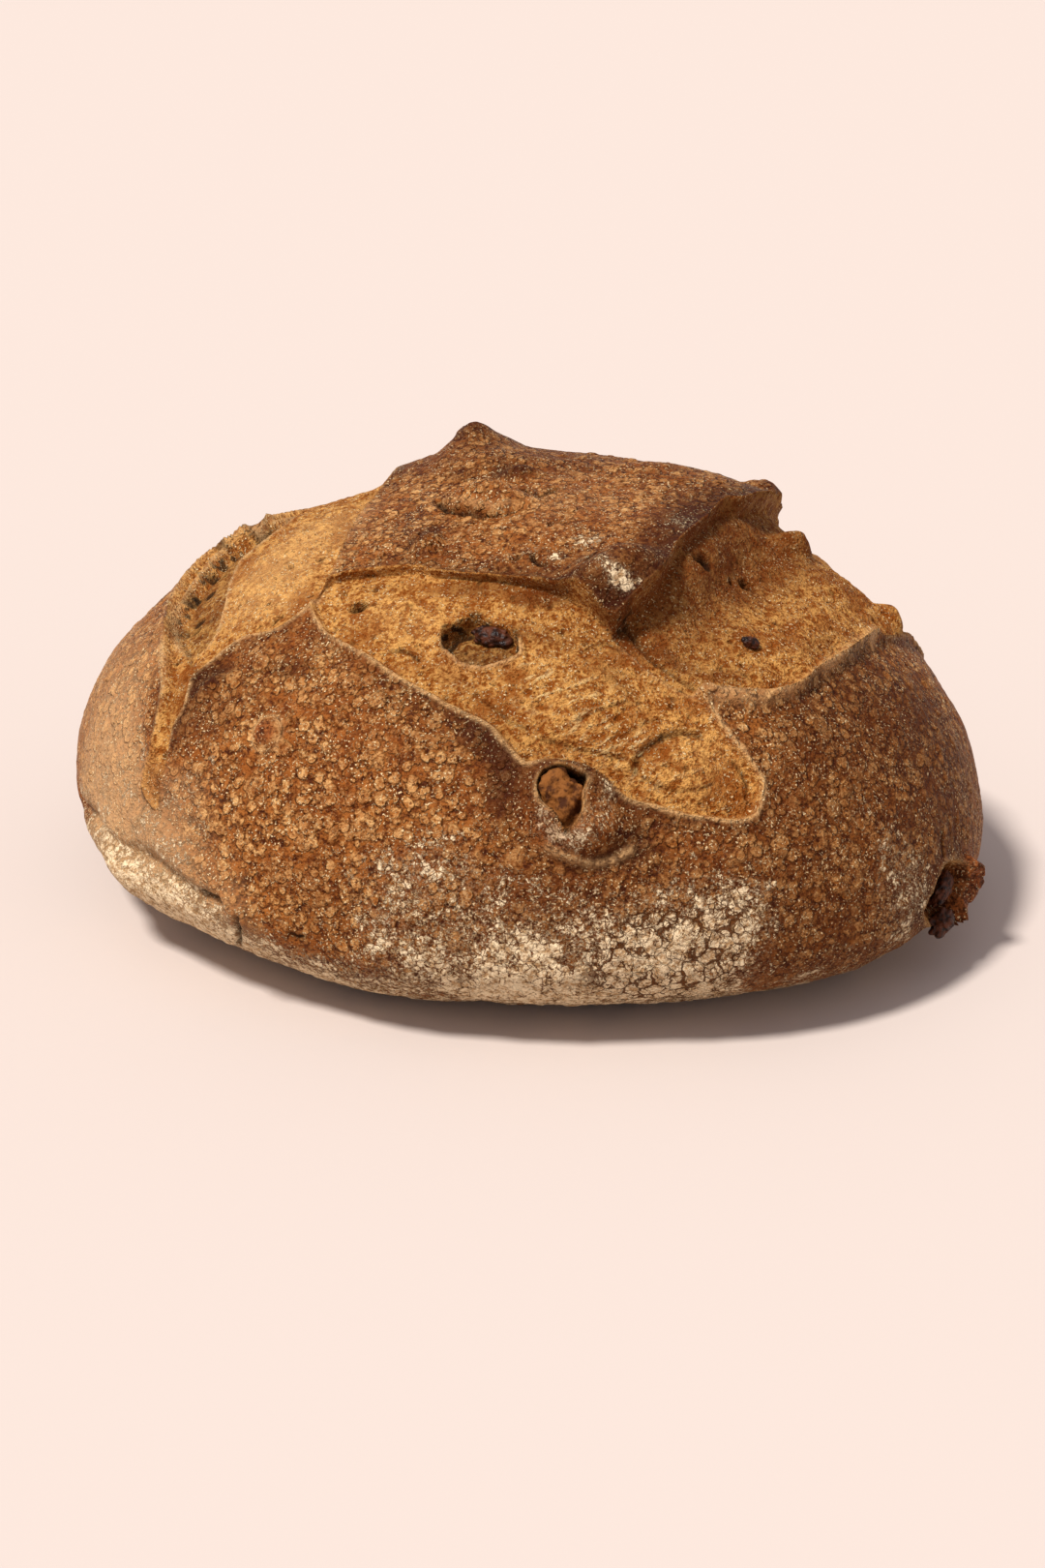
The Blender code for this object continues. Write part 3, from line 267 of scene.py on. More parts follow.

# Fine grooves and ridges: half width, height, shade (1 paints shade in the groove, -1 a pale rim: floury
# crust on some ridges and painted highlight along lit ones), the height that they were read at, and points
GROOVES = [
    (2.2, -2.6, 0.0, 0, [(76, 822), (84, 836), (96, 845), (108, 861), (130, 879), (156, 888), (181, 902),
        (203, 918), (229, 932)]),
    (0.5, -1.2, 0.9, 0, [(208, 919), (216, 924), (225, 927), (230, 933)]),
    (0.55, -1.6, 0.95, 0, [(253, 944), (251, 954), (247, 961), (248, 970), (246, 976)]),
    (0.6, -1.0, 0.9, 0, [(301, 965), (306, 969), (312, 968)]),
    (0.7, -0.8, 0.5, -3, [(645, 645), (655, 655), (673, 674), (698, 694), (719, 711)]),
    (0.8, -1.4, 0.6, -1.8, [(656, 796), (657, 783), (664, 773), (674, 766), (689, 757), (705, 754),
        (722, 757)]),
    (0.35, -0.6, 0.5, -1.6, [(663, 801), (674, 809), (697, 816), (720, 815), (735, 809)]),
    (0.3, -0.5, 0.7, -1.6, [(755, 786), (765, 797), (770, 810), (768, 823)]),
    (0.6, -1.7, 1.0, 2.0, [(450, 509), (453, 517), (461, 521), (479, 523), (501, 525), (520, 526),
        (529, 523)]),
    # A pale ridge along the flap's lit lower edge, as painted highlight
    (0.5, 0.6, -0.4, 2.6, [(456, 512), (470, 516), (490, 518), (510, 519), (527, 516)]),
    (0.75, -1.6, 1.0, 1.5, [(541, 500), (550, 505), (558, 507), (566, 505), (573, 500)]),
    (0.9, -1.0, 1.0, -1.0, [(461, 664), (463, 654), (470, 646), (484, 641)]),
    (0.4, -0.8, 0.7, 1, [(569, 542), (573, 538), (580, 539), (588, 541)]),
    (0.55, -1.2, 1.0, 1.5, [(550, 571), (552, 577), (559, 582), (565, 583)]),
    (0.6, -1.3, 1.0, 5, [(608, 588), (613, 583), (622, 580)]),
    (0.45, -1.0, 0.9, 0.5, [(533, 579), (537, 575)]),
    (0.7, -1.8, 1.0, 5, [(560, 818), (560, 808), (565, 801), (574, 797), (584, 797), (592, 801),
        (599, 804), (608, 806)]),
    (0.45, -1.4, 0.9, 5, [(603, 812), (598, 821), (600, 832), (600, 840), (596, 849), (590, 857),
        (587, 863)]),
    (0.4, -0.9, 0.8, 5, [(562, 828), (570, 835), (578, 842), (584, 852)]),
    (0.9, 0.3, -0.55, 0, [(735, 717), (770, 719), (806, 713), (832, 698), (858, 677), (880, 663),
        (900, 652)]),
    (0.9, 0.9, -0.7, 0, [(566, 876), (576, 881), (592, 888), (612, 893), (635, 889), (652, 878)]),
    (0.4, -0.8, 0.6, 0, [(975, 859), (974, 870), (976, 883)]),
    (1.6, 3.6, 0.0, 0, [(1000, 893), (1006, 905), (1006, 918), (1000, 932), (990, 946)]),
    (1.5, 1.4, -0.4, 2, [(733, 716), (750, 722), (772, 725), (797, 723), (820, 715), (838, 702),
        (856, 690), (875, 679), (890, 667), (902, 661)]),
    (0.6, -0.7, 0.5, 0, [(177, 621), (174, 646), (186, 664), (190, 681)]),
    (0.5, -0.8, 0.8, 0, [(211, 684), (218, 677), (226, 671)]),
    (0.5, -0.8, 0.8, -1.5, [(282, 642), (286, 637), (291, 634)]),
    (0.5, -0.8, 0.7, -1.5, [(407, 671), (415, 669), (425, 673), (433, 679)]),
    (0.4, -0.6, 0.5, -1.5, [(500, 722), (515, 733), (528, 744), (545, 752)]),
    (0.4, -0.6, 0.5, -1.5, [(560, 762), (580, 766), (600, 772), (625, 778), (645, 782)]),
    (0.35, -0.5, 0.5, -1.8, [(597, 744), (612, 736), (628, 729), (645, 723)]),
    (0.35, -0.5, 0.4, -1.8, [(640, 762), (652, 752), (666, 744), (680, 740)]),
    (0.4, -0.6, 0.4, -2.2, [(600, 672), (612, 664), (628, 662), (642, 668)]),
    (1.5, -1.2, 1.0, 0, [(262, 542), (267, 540)]), (0.5, -0.6, 0.8, 0, [(276, 539), (279, 538)]),
    (0.7, -0.8, 0.8, 0, [(225, 566), (230, 562)]), (0.8, -0.9, 1.0, 0, [(207, 587), (214, 580)]),
    (0.7, -0.7, 0.9, 0, [(188, 614), (193, 606)]), (0.6, -0.6, 0.8, 0, [(181, 636), (182, 642)]),
]

# The middle of the caked flour that has cracked, in pixels, and how far it reaches
CRAZED_PX = (705, 975)
CRAZED_REACH = 0.018

# Large blisters: (x, y, radius), in pixels
LARGE_BLISTERS = [
    (276, 758, 19), (327, 685, 9), (365, 708, 12), (270, 686, 11), (391, 724, 10), (409, 732, 9),
    (295, 774, 8), (262, 812, 11), (220, 845, 9), (318, 852, 11), (284, 903, 7), (375, 855, 13),
    (151, 698, 7), (116, 785, 7), (207, 793, 6), (227, 857, 7), (383, 780, 8), (377, 823, 7),
    (846, 748, 11), (877, 814, 8), (957, 706, 5), (863, 835, 9), (806, 880, 8), (742, 811, 4),
    (480, 470, 8), (450, 540, 6), (590, 530, 6), (660, 520, 6), (330, 930, 8), (870, 915, 9),
    (112, 700, 8), (135, 720, 6), (118, 742, 7), (98, 770, 6), (140, 762, 6), (104, 730, 5), (128, 790, 6),
    (160, 660, 6), (146, 690, 5), (92, 800, 6),
]

# For the look alone, as (x, y, amount): where flour lies, a little of it painted sheen on the far right side;
# how brown the crust and crumb are, partly painted shade; how blistered the crust is; where torn skin shows
FLOUR_AND_SHEEN_PX = [
    (410, 915, 0.65), (440, 925, 0.5), (470, 912, 0.65), (520, 908, 0.5), (545, 915, 0.4), (380, 960, 0.4),
    (430, 995, 0.7), (470, 985, 0.55), (500, 1010, 0.9), (540, 990, 1.0), (560, 1010, 1.0),
    (595, 960, 0.5), (590, 1010, 0.5), (620, 1015, 1.0), (640, 985, 1.0), (680, 965, 1.1), (700, 990, 1.1),
    (740, 975, 0.95), (765, 950, 0.75), (730, 1015, 0.9), (480, 960, 0.35), (480, 940, 0.25),
    (560, 945, 0.3), (620, 935, 0.4), (700, 935, 0.4), (790, 990, 0), (850, 950, 0), (300, 800, 0),
    (560, 880, 0.1), (780, 860, 0), (400, 860, 0.1), (640, 910, 0.15), (700, 910, 0.15), (330, 930, 0.1),
    (120, 905, 0.9), (180, 940, 1), (240, 975, 0.9), (300, 1000, 0.8), (90, 870, 0.5), (350, 1018, 0.8),
    (120, 800, 0.35), (110, 720, 0.2), (200, 840, 0.3), (170, 870, 0.45), (590, 570, 0.1),
    (622, 618, 0.15), (650, 590, 0.1), (680, 580, 0.1), (640, 560, 0.1), (500, 573, 0.1), (935, 905, 0.75),
    # The faint flour at (1000, 800) and (985, 740) is painted sheen along the far right side
    (925, 880, 0.4), (905, 990, 0.4), (860, 1003, 0.4), (1000, 800, 0.2), (985, 740, 0.1), (880, 910, 0),
    (960, 880, 0.2), (940, 820, 0), (830, 1000, 0.5), (700, 850, 0.15), (590, 850, 0.15), (644, 876, 0),
    (540, 840, 0), (550, 870, 0), (500, 800, 0.05), (600, 700, 0), (450, 640, 0), (640, 500, 0.1),
    (480, 560, 0), (260, 900, 0.15), (300, 700, 0), (850, 700, 0.05), (900, 700, 0.1), (830, 720, 0.1),
    (250, 600, 0), (750, 600, 0), (820, 640, 0.05),
]
BAKE_AND_SHADE_PX = [
    (600, 530, -0.15), (490, 445, 0.6), (500, 470, 0.2), (437, 553, 0.6), (400, 560, 0.2), (360, 590, 0.2),
    (500, 530, -0.2), (470, 560, 0), (560, 545, -0.1), (700, 510, 0.25), (785, 505, 0.4), (660, 590, 0.2),
    (560, 480, 0.45), (640, 478, 0.35), (720, 495, 0.35), (400, 700, 0.25), (450, 730, 0.35),
    (500, 765, 0.5), (540, 800, 0.45), (350, 670, 0.2), (230, 700, 0.3), (205, 705, 0.7), (300, 670, 0.2),
    # From (800, 850) to (900, 950): painted shade on the right side, which is turned from the lamp
    (300, 780, 0), (400, 800, 0), (480, 830, 0), (700, 880, 0.25), (800, 850, 0.45), (850, 780, 0.55),
    (900, 720, 0.6), (950, 750, 0.6), (960, 850, 0.55), (860, 870, 0.45), (820, 930, 0.55),
    (900, 950, 0.5), (650, 900, 0.25), (250, 850, 0), (120, 750, -0.6), (150, 680, -0.4), (110, 830, -0.7),
    # From (720, 590) to (740, 610): toast and painted shade on the wall under the top crust's lip
    (180, 850, -0.4), (100, 700, -0.4), (160, 910, -0.8), (240, 960, -0.5), (720, 590, 1.1),
    (760, 560, 1.0), (690, 630, 1.1), (785, 560, 0.8), (740, 610, 0.9), (700, 655, 0.5), (790, 640, 0.1),
    (740, 680, 0.2), (665, 640, 0.8), (600, 650, 0.3), (640, 665, 0.4), (560, 640, 0.15), (380, 620, -0.5),
    (430, 640, -0.5), (700, 800, -0.3), (745, 815, -0.35), (670, 700, 0.15), (560, 600, 0.5),
    (450, 600, 0.3), (280, 600, -0.7), (340, 560, -0.6), (240, 640, -0.4), (210, 600, -0.1),
    (240, 565, -0.1), (195, 630, -0.1), (265, 545, -0.1), (820, 650, 0.2), (880, 640, 0.2),
    (500, 680, 0.1), (600, 730, 0.1), (648, 862, 0.8), (630, 884, 0.6), (660, 840, 0.4), (320, 950, 0.3),
    (420, 940, 0.4), (560, 930, 0.5), (480, 960, 0.4), (690, 900, 0.45), (760, 890, 0.5), (540, 880, 0.4),
    (380, 880, 0.1),
]
BLISTER_PX = [
    (300, 780, 1), (400, 800, 1), (250, 850, 1), (350, 900, 1), (500, 870, 0.9), (700, 880, 0.9),
    (850, 800, 0.9), (900, 900, 0.8), (950, 760, 0.9), (600, 950, 0.6), (700, 980, 0.5), (600, 530, 0.7),
    (450, 560, 1), (720, 520, 0.9), (120, 760, 0.8), (150, 680, 0.7), (150, 900, 0.2), (110, 850, 0.3),
    (230, 960, 0.2), (590, 840, 0.1), (645, 590, 0.4),
]
SKIN_PX = [
    (1000, 905, 1), (1004, 918, 1), (998, 932, 1), (988, 946, 1), (160, 812, 0.7), (975, 905, 0.3),
    (500, 684, 0.4), (470, 672, 0.4), (572, 838, 0.7), (586, 852, 0.6), (975, 880, 0), (950, 930, 0),
    (560, 830, 0), (600, 870, 0), (500, 700, 0), (450, 670, 0), (500, 640, 0), (140, 800, 0),
    (180, 800, 0), (160, 840, 0), (160, 780, 0), (620, 840, 0),
]

# Small patches of flour and of darker browning, given like the swellings but with an amount for the height;
# the darker patches from (268, 546) to (192, 643) are painted shade in the trough's holes
FLOUR_PATCHES = [
    (576, 577, 0.42, 2.6, 2.6, -30), (602, 592, 0.40, 4.0, 3.4, -30), (618, 610, 0.50, 3.6, 3.0, -25),
    (634, 624, 0.50, 3.4, 2.6, -10), (644, 622, 0.35, 4.0, 3.6, -20), (605, 562, 0.34, 6.5, 4.0, 0),
    (698, 556, 0.36, 4.0, 7.0, 0), (512, 580, 0.34, 6.0, 3.0, 0), (545, 572, 0.30, 5.0, 3.0, 0),
    (588, 866, 0.42, 6.0, 4.0, 0), (566, 848, 0.52, 4.0, 5.0, 30), (616, 850, 0.44, 5.0, 5.0, 0),
    (628, 816, 0.46, 3.4, 5.0, 0), (604, 788, 0.60, 9.0, 2.4, -8), (640, 570, 0.20, 14.0, 8.0, 0),
    (720, 500, 0.15, 12.0, 4.0, 0),
]
SCORCHES_AND_SHADE = [
    (437, 555, 0.9, 3.6, 7.0, -5), (520, 492, 0.5, 4.0, 4.5, 0), (478, 498, 0.25, 5.0, 4.0, 0),
    (490, 446, 0.6, 7, 5, 0), (655, 872, 0.5, 5.0, 6.0, 35), (628, 888, 0.5, 6.0, 2.2, 15),
    (600, 846, -0.7, 9.0, 7.0, 0), (210, 704, 0.8, 7.0, 3.6, 35), (640, 640, 0.7, 7.0, 4.0, -35),
    (705, 672, 0.5, 2.4, 7.0, 45), (562, 612, 0.7, 9.0, 3.0, -4), (480, 604, 0.6, 12.0, 2.6, 0),
    (395, 600, 0.5, 9.0, 2.2, 4), (300, 690, 0.4, 6.0, 4.0, 0), (500, 765, 0.5, 9.0, 4.5, -40),
    (520, 815, 0.5, 5.0, 9.0, 0), (268, 546, 1.0, 3.6, 3.6, 20), (243, 567, 1.0, 3.0, 2.4, 40),
    (231, 583, 1.0, 2.4, 3.2, -30), (219, 600, 1.0, 2.6, 2.8, 0), (203, 624, 0.9, 2.2, 3.4, 0),
    (192, 643, 0.8, 2.0, 4.0, 0), (772, 590, 0.5, 6.0, 8.0, 0), (720, 560, 0.4, 5.0, 5.0, 0),
    (560, 650, 0.35, 9.0, 4.0, -20), (470, 700, 0.3, 8.0, 3.0, -30), (760, 690, 0.35, 8.0, 3.0, 0),
    (850, 660, 0.3, 8.0, 3.0, 15), (640, 700, 0.3, 3.0, 9.0, 40), (800, 718, -0.8, 8.0, 2.6, 5),
    (850, 690, -0.9, 8.0, 2.6, 28), (892, 662, -0.9, 8.0, 3.0, 38), (930, 652, -0.7, 6.0, 3.0, 0),
    (745, 718, -0.6, 6.0, 2.4, -5), (538, 492, 0.6, 4.0, 3.0, 0), (485, 674, -0.9, 4.0, 2.0, -10),
    (486, 484, -0.4, 5.0, 3.0, 20),
]

# Where the crumb is drawn out into strands, in the same form, and the direction and length of the strands
STREAKS = [(600, 725, 1.0, 17.0, 9.0, -35), (672, 785, 0.9, 13.0, 7.0, -15), (540, 700, 0.5, 9.0, 8.0, -30)]

# What the material is told at each vertex
MARKS = ("crumb", "rim", "lip", "bubbly", "blister", "flour", "craze", "pore", "bake", "skin", "dark", "hole",
         "streak", "wall", "cavity")
NOISE_TURN = np.array(((0.36, 0.48, -0.8), (-0.8, 0.6, 0.0), (0.48, 0.64, 0.6)))
STRAND = np.array((0.80, 0.52, 0.30))
STRAND_LENGTH = 4.0

# Sizes of the relief that has no places of its own, in metres
WANDER_SIZE = 0.0075
WAVE_SIZES = (0.028, 0.011)
ROUGH_SIZE = 0.0024
BLISTER_SIZE = 0.0042
LUMP_SIZE = 0.009
GRAIN_SIZE = 0.0034
PORE_SIZE = 0.0026
PIT_SIZE = 0.0060
DRIFT_SIZE = 0.020
CLUMP_SIZE = 0.0050
SKIN_FOLD_SIZE = 0.0020

# Sizes of the materials' patterns, in metres
FINE_SIZES = (0.0020, 0.0007)
SPECK_SIZE = 0.00055
BUBBLE_SIZES = (0.0029, 0.0016)
BAKE_PATCH_SIZE = 0.0120
CRUST_PIT_SIZE = 0.0011
SCALE_SIZE = 0.0026
SCALE_PATCH_SIZE = 0.0080
STRAND_SIZE = 0.0015
CRUMB_HOLE_SIZE = 0.0015
CAVITY_SHADE_SIZE = 0.0040
TOAST_SIZE = 0.0100
POWDER_SIZES = (0.0060, 0.0012)
FLAKE_SIZE = 0.0019
HAZE_AND_SHEEN_SIZE = 0.0005
CRACK_CELLS = (0.0046, 0.0027)
CRACK_WIDTH_SIZE = 0.0050
GRIT_AND_GLINT_SIZE = 0.0005
GRIT_AND_GLINT_PATCH_SIZE = 0.0045
BLOOM_SIZE = 0.0016
RAISIN_CREASE_SIZE = 0.0008
VEIN_SIZE = 0.0026

# How deep the materials' patterns look, in metres
BREAD_DEPTH = 0.0012
RAISIN_DEPTH = 0.0005
WALNUT_DEPTH = 0.0010

# How rough the skins of the pieces are, in millimetres
ROUGHNESS = {"raisin": 0.16, "walnut": 0.42}

# The studio
FRAME_HEIGHT_PX = 1620
SENSOR_WIDTH = 36
ATLAS_MARGIN = 0.004
FLOOR_HALF = 3.0
FLOOR_COLOUR = (0.5802, 0.4997, 0.4581, 1.0)
SKY_COLOUR = (1.0, 0.94, 0.97, 1.0)
SKY_STRENGTH = 0.54
KEY_FROM = (-0.40, -0.30, 0.90)
KEY_SPREAD = math.radians(11)
KEY_STRENGTH = 4.2
KEY_COLOUR = (1.0, 0.965, 0.92)


def srgb(red, green, blue):
    """A colour as screens give it, from 0 to 255, made linear."""
    return (*(math.pow((v / 255 + 0.055) / 1.055, 2.4) for v in (red, green, blue)), 1.0)


# Colours
CRUST_DARK = srgb(58, 20, 1)
CRUST_BROWN = srgb(152, 90, 38)
CRUST_RED = srgb(124, 62, 18)
CRUST_AMBER = srgb(158, 92, 34)
CRUST_GOLD = srgb(218, 172, 112)
# Scorched crust, also laid on as painted shade
CRUST_BURNT_AND_SHADE = srgb(52, 18, 2)
CRUST_PALE = srgb(218, 174, 124)
CRUMB_BROWN = srgb(132, 70, 18)
CRUMB_GOLD = srgb(206, 151, 82)
CRUMB_TOAST = srgb(128, 64, 14)
CRUMB_PALE = srgb(242, 208, 144)
# Burnt crumb, also laid on as painted shade under the top crust's lip
CRUMB_BURNT_AND_SHADE = srgb(92, 42, 10)
CRUMB_LIGHT = srgb(224, 174, 110)
CRUMB_SHADE = srgb(48, 24, 6)
FLOUR_TAN = srgb(176, 138, 96)
FLOUR_CREAM = srgb(236, 212, 174)
# Pale rims, also painted highlight along lit ridges
RIM_CREAM_AND_HIGHLIGHT = srgb(208, 164, 112)
SKIN_DARK = srgb(62, 26, 10)
SKIN_ORANGE = srgb(142, 76, 34)
# Pale grit specks, also painted glints of highlight
GRIT_AND_GLINT = srgb(246, 216, 166)
CRACK = srgb(92, 50, 18)
# Painted shade in grooves, hollows and open bubbles
PAINTED_SHADE_COLOUR = srgb(24, 12, 5)
RAISIN_DARK = srgb(26, 10, 5)
RAISIN_BLOOM = srgb(84, 42, 22)
WALNUT_DARK = srgb(64, 32, 12)
WALNUT_TAN = srgb(130, 80, 36)


def smooth(x, low, high):
    """0 below low, 1 above high, and an even S between."""
    t = np.clip((x - low) / (high - low), 0.0, 1.0)
    return t * t * (3.0 - 2.0 * t)


def unit(v):
    return v / np.linalg.norm(v, axis=-1, keepdims=True)


def seen_at(points):
    """Where the view shows these points, in pixels."""
    offset = points - EYE
    shrink = VIEW_DISTANCE / -(offset @ BACK)
    across = np.stack((offset @ RIGHT * shrink, -(offset @ UP) * shrink), axis=-1)
    return VIEW_CENTRE_PX + across / PIXEL


def plain_radius(d):
    """The radius about HEART of a squarish ellipsoid, turned a little in plan."""
    cos, sin = math.cos(TURN), math.sin(TURN)
    along = np.abs(d[:, 0] * cos + d[:, 1] * sin) / (LOAF_WIDTH / 2)
    across = np.abs(d[:, 1] * cos - d[:, 0] * sin) / (LOAF_DEPTH / 2)
    tall = np.where(d[:, 2] > 0, CROWN_HEIGHT - HEART_HEIGHT, UNDERSIDE_DROP)
    up = np.abs(d[:, 2]) / tall
    return (along**SQUARENESS + across**SQUARENESS + up**SQUARENESS) ** (-1 / SQUARENESS)


def polar_px(px):
    """Angle and distance of pixels about the place where HEART is seen."""
    offset = px - seen_at(HEART)
    return np.arctan2(offset[:, 1], offset[:, 0]), np.hypot(offset[:, 0], offset[:, 1])


def even_directions(count):
    """Unit directions spread evenly over the sphere."""
    k = np.arange(count) + 0.5
    turn, z = k * math.pi * (3 - math.sqrt(5)), 1 - 2 * k / count
    flat = np.sqrt(1 - z * z)
    return np.stack((flat * np.cos(turn), flat * np.sin(turn), z), axis=-1)


def closed_spline(points, steps):
    """A closed Catmull-Rom curve through the points; further columns are carried along."""
    p = np.array(points, float)
    a, b, c, d = (np.roll(p, shift, axis=0)[:, None] for shift in (1, 0, -1, -2))
    t = (np.arange(steps) / steps)[None, :, None]
    bend, twist = 2 * a - 5 * b + 4 * c - d, 3 * b - a - 3 * c + d
    return (0.5 * (2 * b + (c - a) * t + bend * t**2 + twist * t**3)).reshape(-1, p.shape[1])


def softened(angles, values):
    """Values evenly spaced round a circle, each blended with its neighbours."""
    apart = (angles[:, None] - angles[None, :] + math.pi) % (2 * math.pi) - math.pi
    weight = np.exp(-((apart / TRIM_SOFTNESS) ** 2))
    return weight @ values / weight.sum(axis=1)


def trim_factors():
    """How much wider the drawn outline is than the plain body's, by angle about HEART."""
    count = 120
    angles = (np.arange(count) + 0.5) / count * 2 * math.pi - math.pi
    d = even_directions(60000)
    plain_angle, plain_distance = polar_px(seen_at(HEART + plain_radius(d)[:, None] * d))
    farthest = np.zeros(count)
    slot = ((plain_angle + math.pi) / (2 * math.pi) * count).astype(int) % count
    np.maximum.at(farthest, slot, plain_distance)
    drawn_angle, drawn = polar_px(closed_spline(OUTLINE_PX, 8))
    order = np.argsort(drawn_angle)
    drawn_here = np.interp(angles, drawn_angle[order], drawn[order], period=2 * math.pi)
    return angles, softened(angles, farthest), softened(angles, drawn_here / farthest)


TRIM_ANGLES, PLAIN_RIM, TRIM = trim_factors()


def body_radius(d):
    """The radius about HEART of the smooth loaf: the plain body, trimmed to the outline, on a flat base."""
    plain = plain_radius(d)
    angle, distance = polar_px(seen_at(HEART + plain[:, None] * d))
    rim = np.interp(angle, TRIM_ANGLES, PLAIN_RIM, period=2 * math.pi)
    factor = np.interp(angle, TRIM_ANGLES, TRIM, period=2 * math.pi)
    trimmed = plain * (1 + (factor - 1) * smooth(distance / rim, TRIM_START, 1.0))
    floor = (HEART_HEIGHT + BASE_SLICE) / np.maximum(-d[:, 2], 1e-6)
    blend = np.maximum(BASE_ROUNDING - np.abs(trimmed - floor), 0) / BASE_ROUNDING
    return np.minimum(trimmed, floor) - blend**2 * BASE_ROUNDING / 4


def first_hit(starts, aims, near, far, rise):
    """The unit directions from HEART at which rays first meet the loaf, raised by rise, or pass nearest."""
    steps = np.linspace(near, far, RAY_STEPS)
    offset = starts[:, None] + aims[:, None] * steps[None, :, None] - HEART
    reach = np.linalg.norm(offset, axis=-1)
    crust = body_radius((offset / reach[..., None]).reshape(-1, 3)).reshape(reach.shape)
    gap = reach - crust - np.reshape(rise, (-1, 1))
    row = np.arange(len(aims))
    first = np.where((gap < 0).any(axis=1), (gap < 0).argmax(axis=1), gap.argmin(axis=1))
    before, after = gap[row, np.maximum(first - 1, 0)], gap[row, first]
    back_by = np.where(after < 0, after / np.minimum(after - before, -1e-9), 0.0)
    hit = offset[row, first] - aims * (back_by * (steps[1] - steps[0]))[:, None]
    return unit(hit)


def on_crust(px, rise=0.0):
    """The unit directions from HEART at which the view shows the loaf, raised by rise, at these pixels."""
    across = (np.asarray(px, float)[:, :2] - VIEW_CENTRE_PX) * PIXEL
    aims = unit(VIEW_TARGET + across[:, :1] * RIGHT - across[:, 1:] * UP - EYE)
    starts = np.broadcast_to(EYE, aims.shape)
    return first_hit(starts, aims, VIEW_DISTANCE - 0.14, VIEW_DISTANCE + 0.10, np.full(len(aims), rise))


def from_above(places):
    """The unit directions from HEART to the crust above these places in plan, in millimetres."""
    plan = np.asarray(places, float)[:, :2] * MM
    starts = np.column_stack((plan, np.full(len(plan), 2 * CROWN_HEIGHT)))
    aims = np.broadcast_to((0.0, 0.0, -1.0), starts.shape)
    return first_hit(starts, aims, 0.5 * CROWN_HEIGHT, 2 * CROWN_HEIGHT, np.zeros(len(plan)))


def on_body(d):
    return HEART + body_radius(d)[:, None] * d


class Spots:
    """A height that passes near given heights at given places, and fades away from them by calm."""

    def __init__(self, seen, above, spread, calm):
        rows = [(on_crust([s], s[2] * MM)[0], s[2]) for s in seen]
        rows += [(from_above([s])[0], s[2]) for s in above]
        self.places = on_body(np.array([direction for direction, _ in rows]))
        self.heights = np.array([height for _, height in rows]) * MM
        self.spread, self.calm = spread, calm

    def __call__(self, points):
        total, weight = np.zeros(len(points)), np.full(len(points), self.calm)
        for place, height in zip(self.places, self.heights):
            near = np.exp(-(((points - place) ** 2).sum(axis=1)) / self.spread**2)
            total += near * height
            weight += near
        return total / weight


def chart(d):
    """A flat map of unit directions about +Z, for telling inside from outside."""
    flat = np.maximum(np.hypot(d[:, 0], d[:, 1]), 1e-9)
    return d[:, :2] / flat[:, None] * np.arccos(np.clip(d[:, 2], -1, 1))[:, None]


class Line:
    """A curve laid on the smooth loaf, with columns of values that are carried along it."""

    def __init__(self, directions, values, closed):
        self.points = on_body(directions)
        self.flat = chart(directions)
        self.closed = closed
        along = np.roll(self.points, -1, axis=0) - np.roll(self.points, 1, axis=0)
        inward = unit(np.cross(directions, along))
        ahead = np.roll(self.flat, -1, axis=0)
        turns_left = (self.flat[:, 0] * ahead[:, 1] - ahead[:, 0] * self.flat[:, 1]).sum() > 0
        self.values = np.column_stack((values, inward if turns_left else -inward))

    def measure(self, points, d, far):
        """Distance to the curve, negative inside a closed one, and the values at the nearest place.

        Points farther than far from the curve's box keep that distance and the first values.
        """
        count = len(self.points) - (0 if self.closed else 1)
        index = np.arange(count)
        start, end = self.points[index], self.points[(index + 1) % len(self.points)]
        step = end - start
        length2 = np.maximum((step**2).sum(axis=1), 1e-14)
        distance = np.full(len(points), far)
        values = np.repeat(self.values[:1], len(points), axis=0)
        in_box = (points > self.points.min(axis=0) - far) & (points < self.points.max(axis=0) + far)
        near = np.flatnonzero(in_box.all(axis=1))
        for part in np.array_split(near, max(1, len(near) // 3000)):
            offset = points[part][:, None] - start[None]
            t = np.clip((offset * step).sum(axis=2) / length2, 0, 1)
            away = ((offset - t[..., None] * step) ** 2).sum(axis=2)
            best = away.argmin(axis=1)
            row = np.arange(len(part))
            share = t[row, best][:, None]
            distance[part] = np.sqrt(away[row, best])
            values[part] = self.values[best] * (1 - share)
            values[part] += self.values[(best + 1) % len(self.points)] * share
            if self.closed:
                inside = self.encloses(chart(d[part]))
                distance[part] = np.where(inside, -distance[part], distance[part])
        return distance, values

    def encloses(self, flat):
        """Whether places on the chart lie inside the closed curve."""
        x0, y0 = self.flat[:, 0], self.flat[:, 1]
        x1, y1 = np.roll(x0, -1), np.roll(y0, -1)
        x, y = flat[:, :1], flat[:, 1:]
        spans = (y0 > y) != (y1 > y)
        slope = (x1 - x0) / np.where(y1 == y0, 1e-12, y1 - y0)
        return ((spans & (x < x0 + (y - y0) * slope)).sum(axis=1) % 2).astype(bool)


CRUST = Spots(CRUST_SPOTS, CRUST_SPOTS_ABOVE, CRUST_SPREAD, CRUST_CALM)


def look_spots(rows, spread, calm):
    """Like Spots, for amounts that aren't heights."""
    made = Spots([(x, y, 0) for x, y, _ in rows], [], spread, calm)
    made.heights = np.array([amount for _, _, amount in rows], float)
    return made


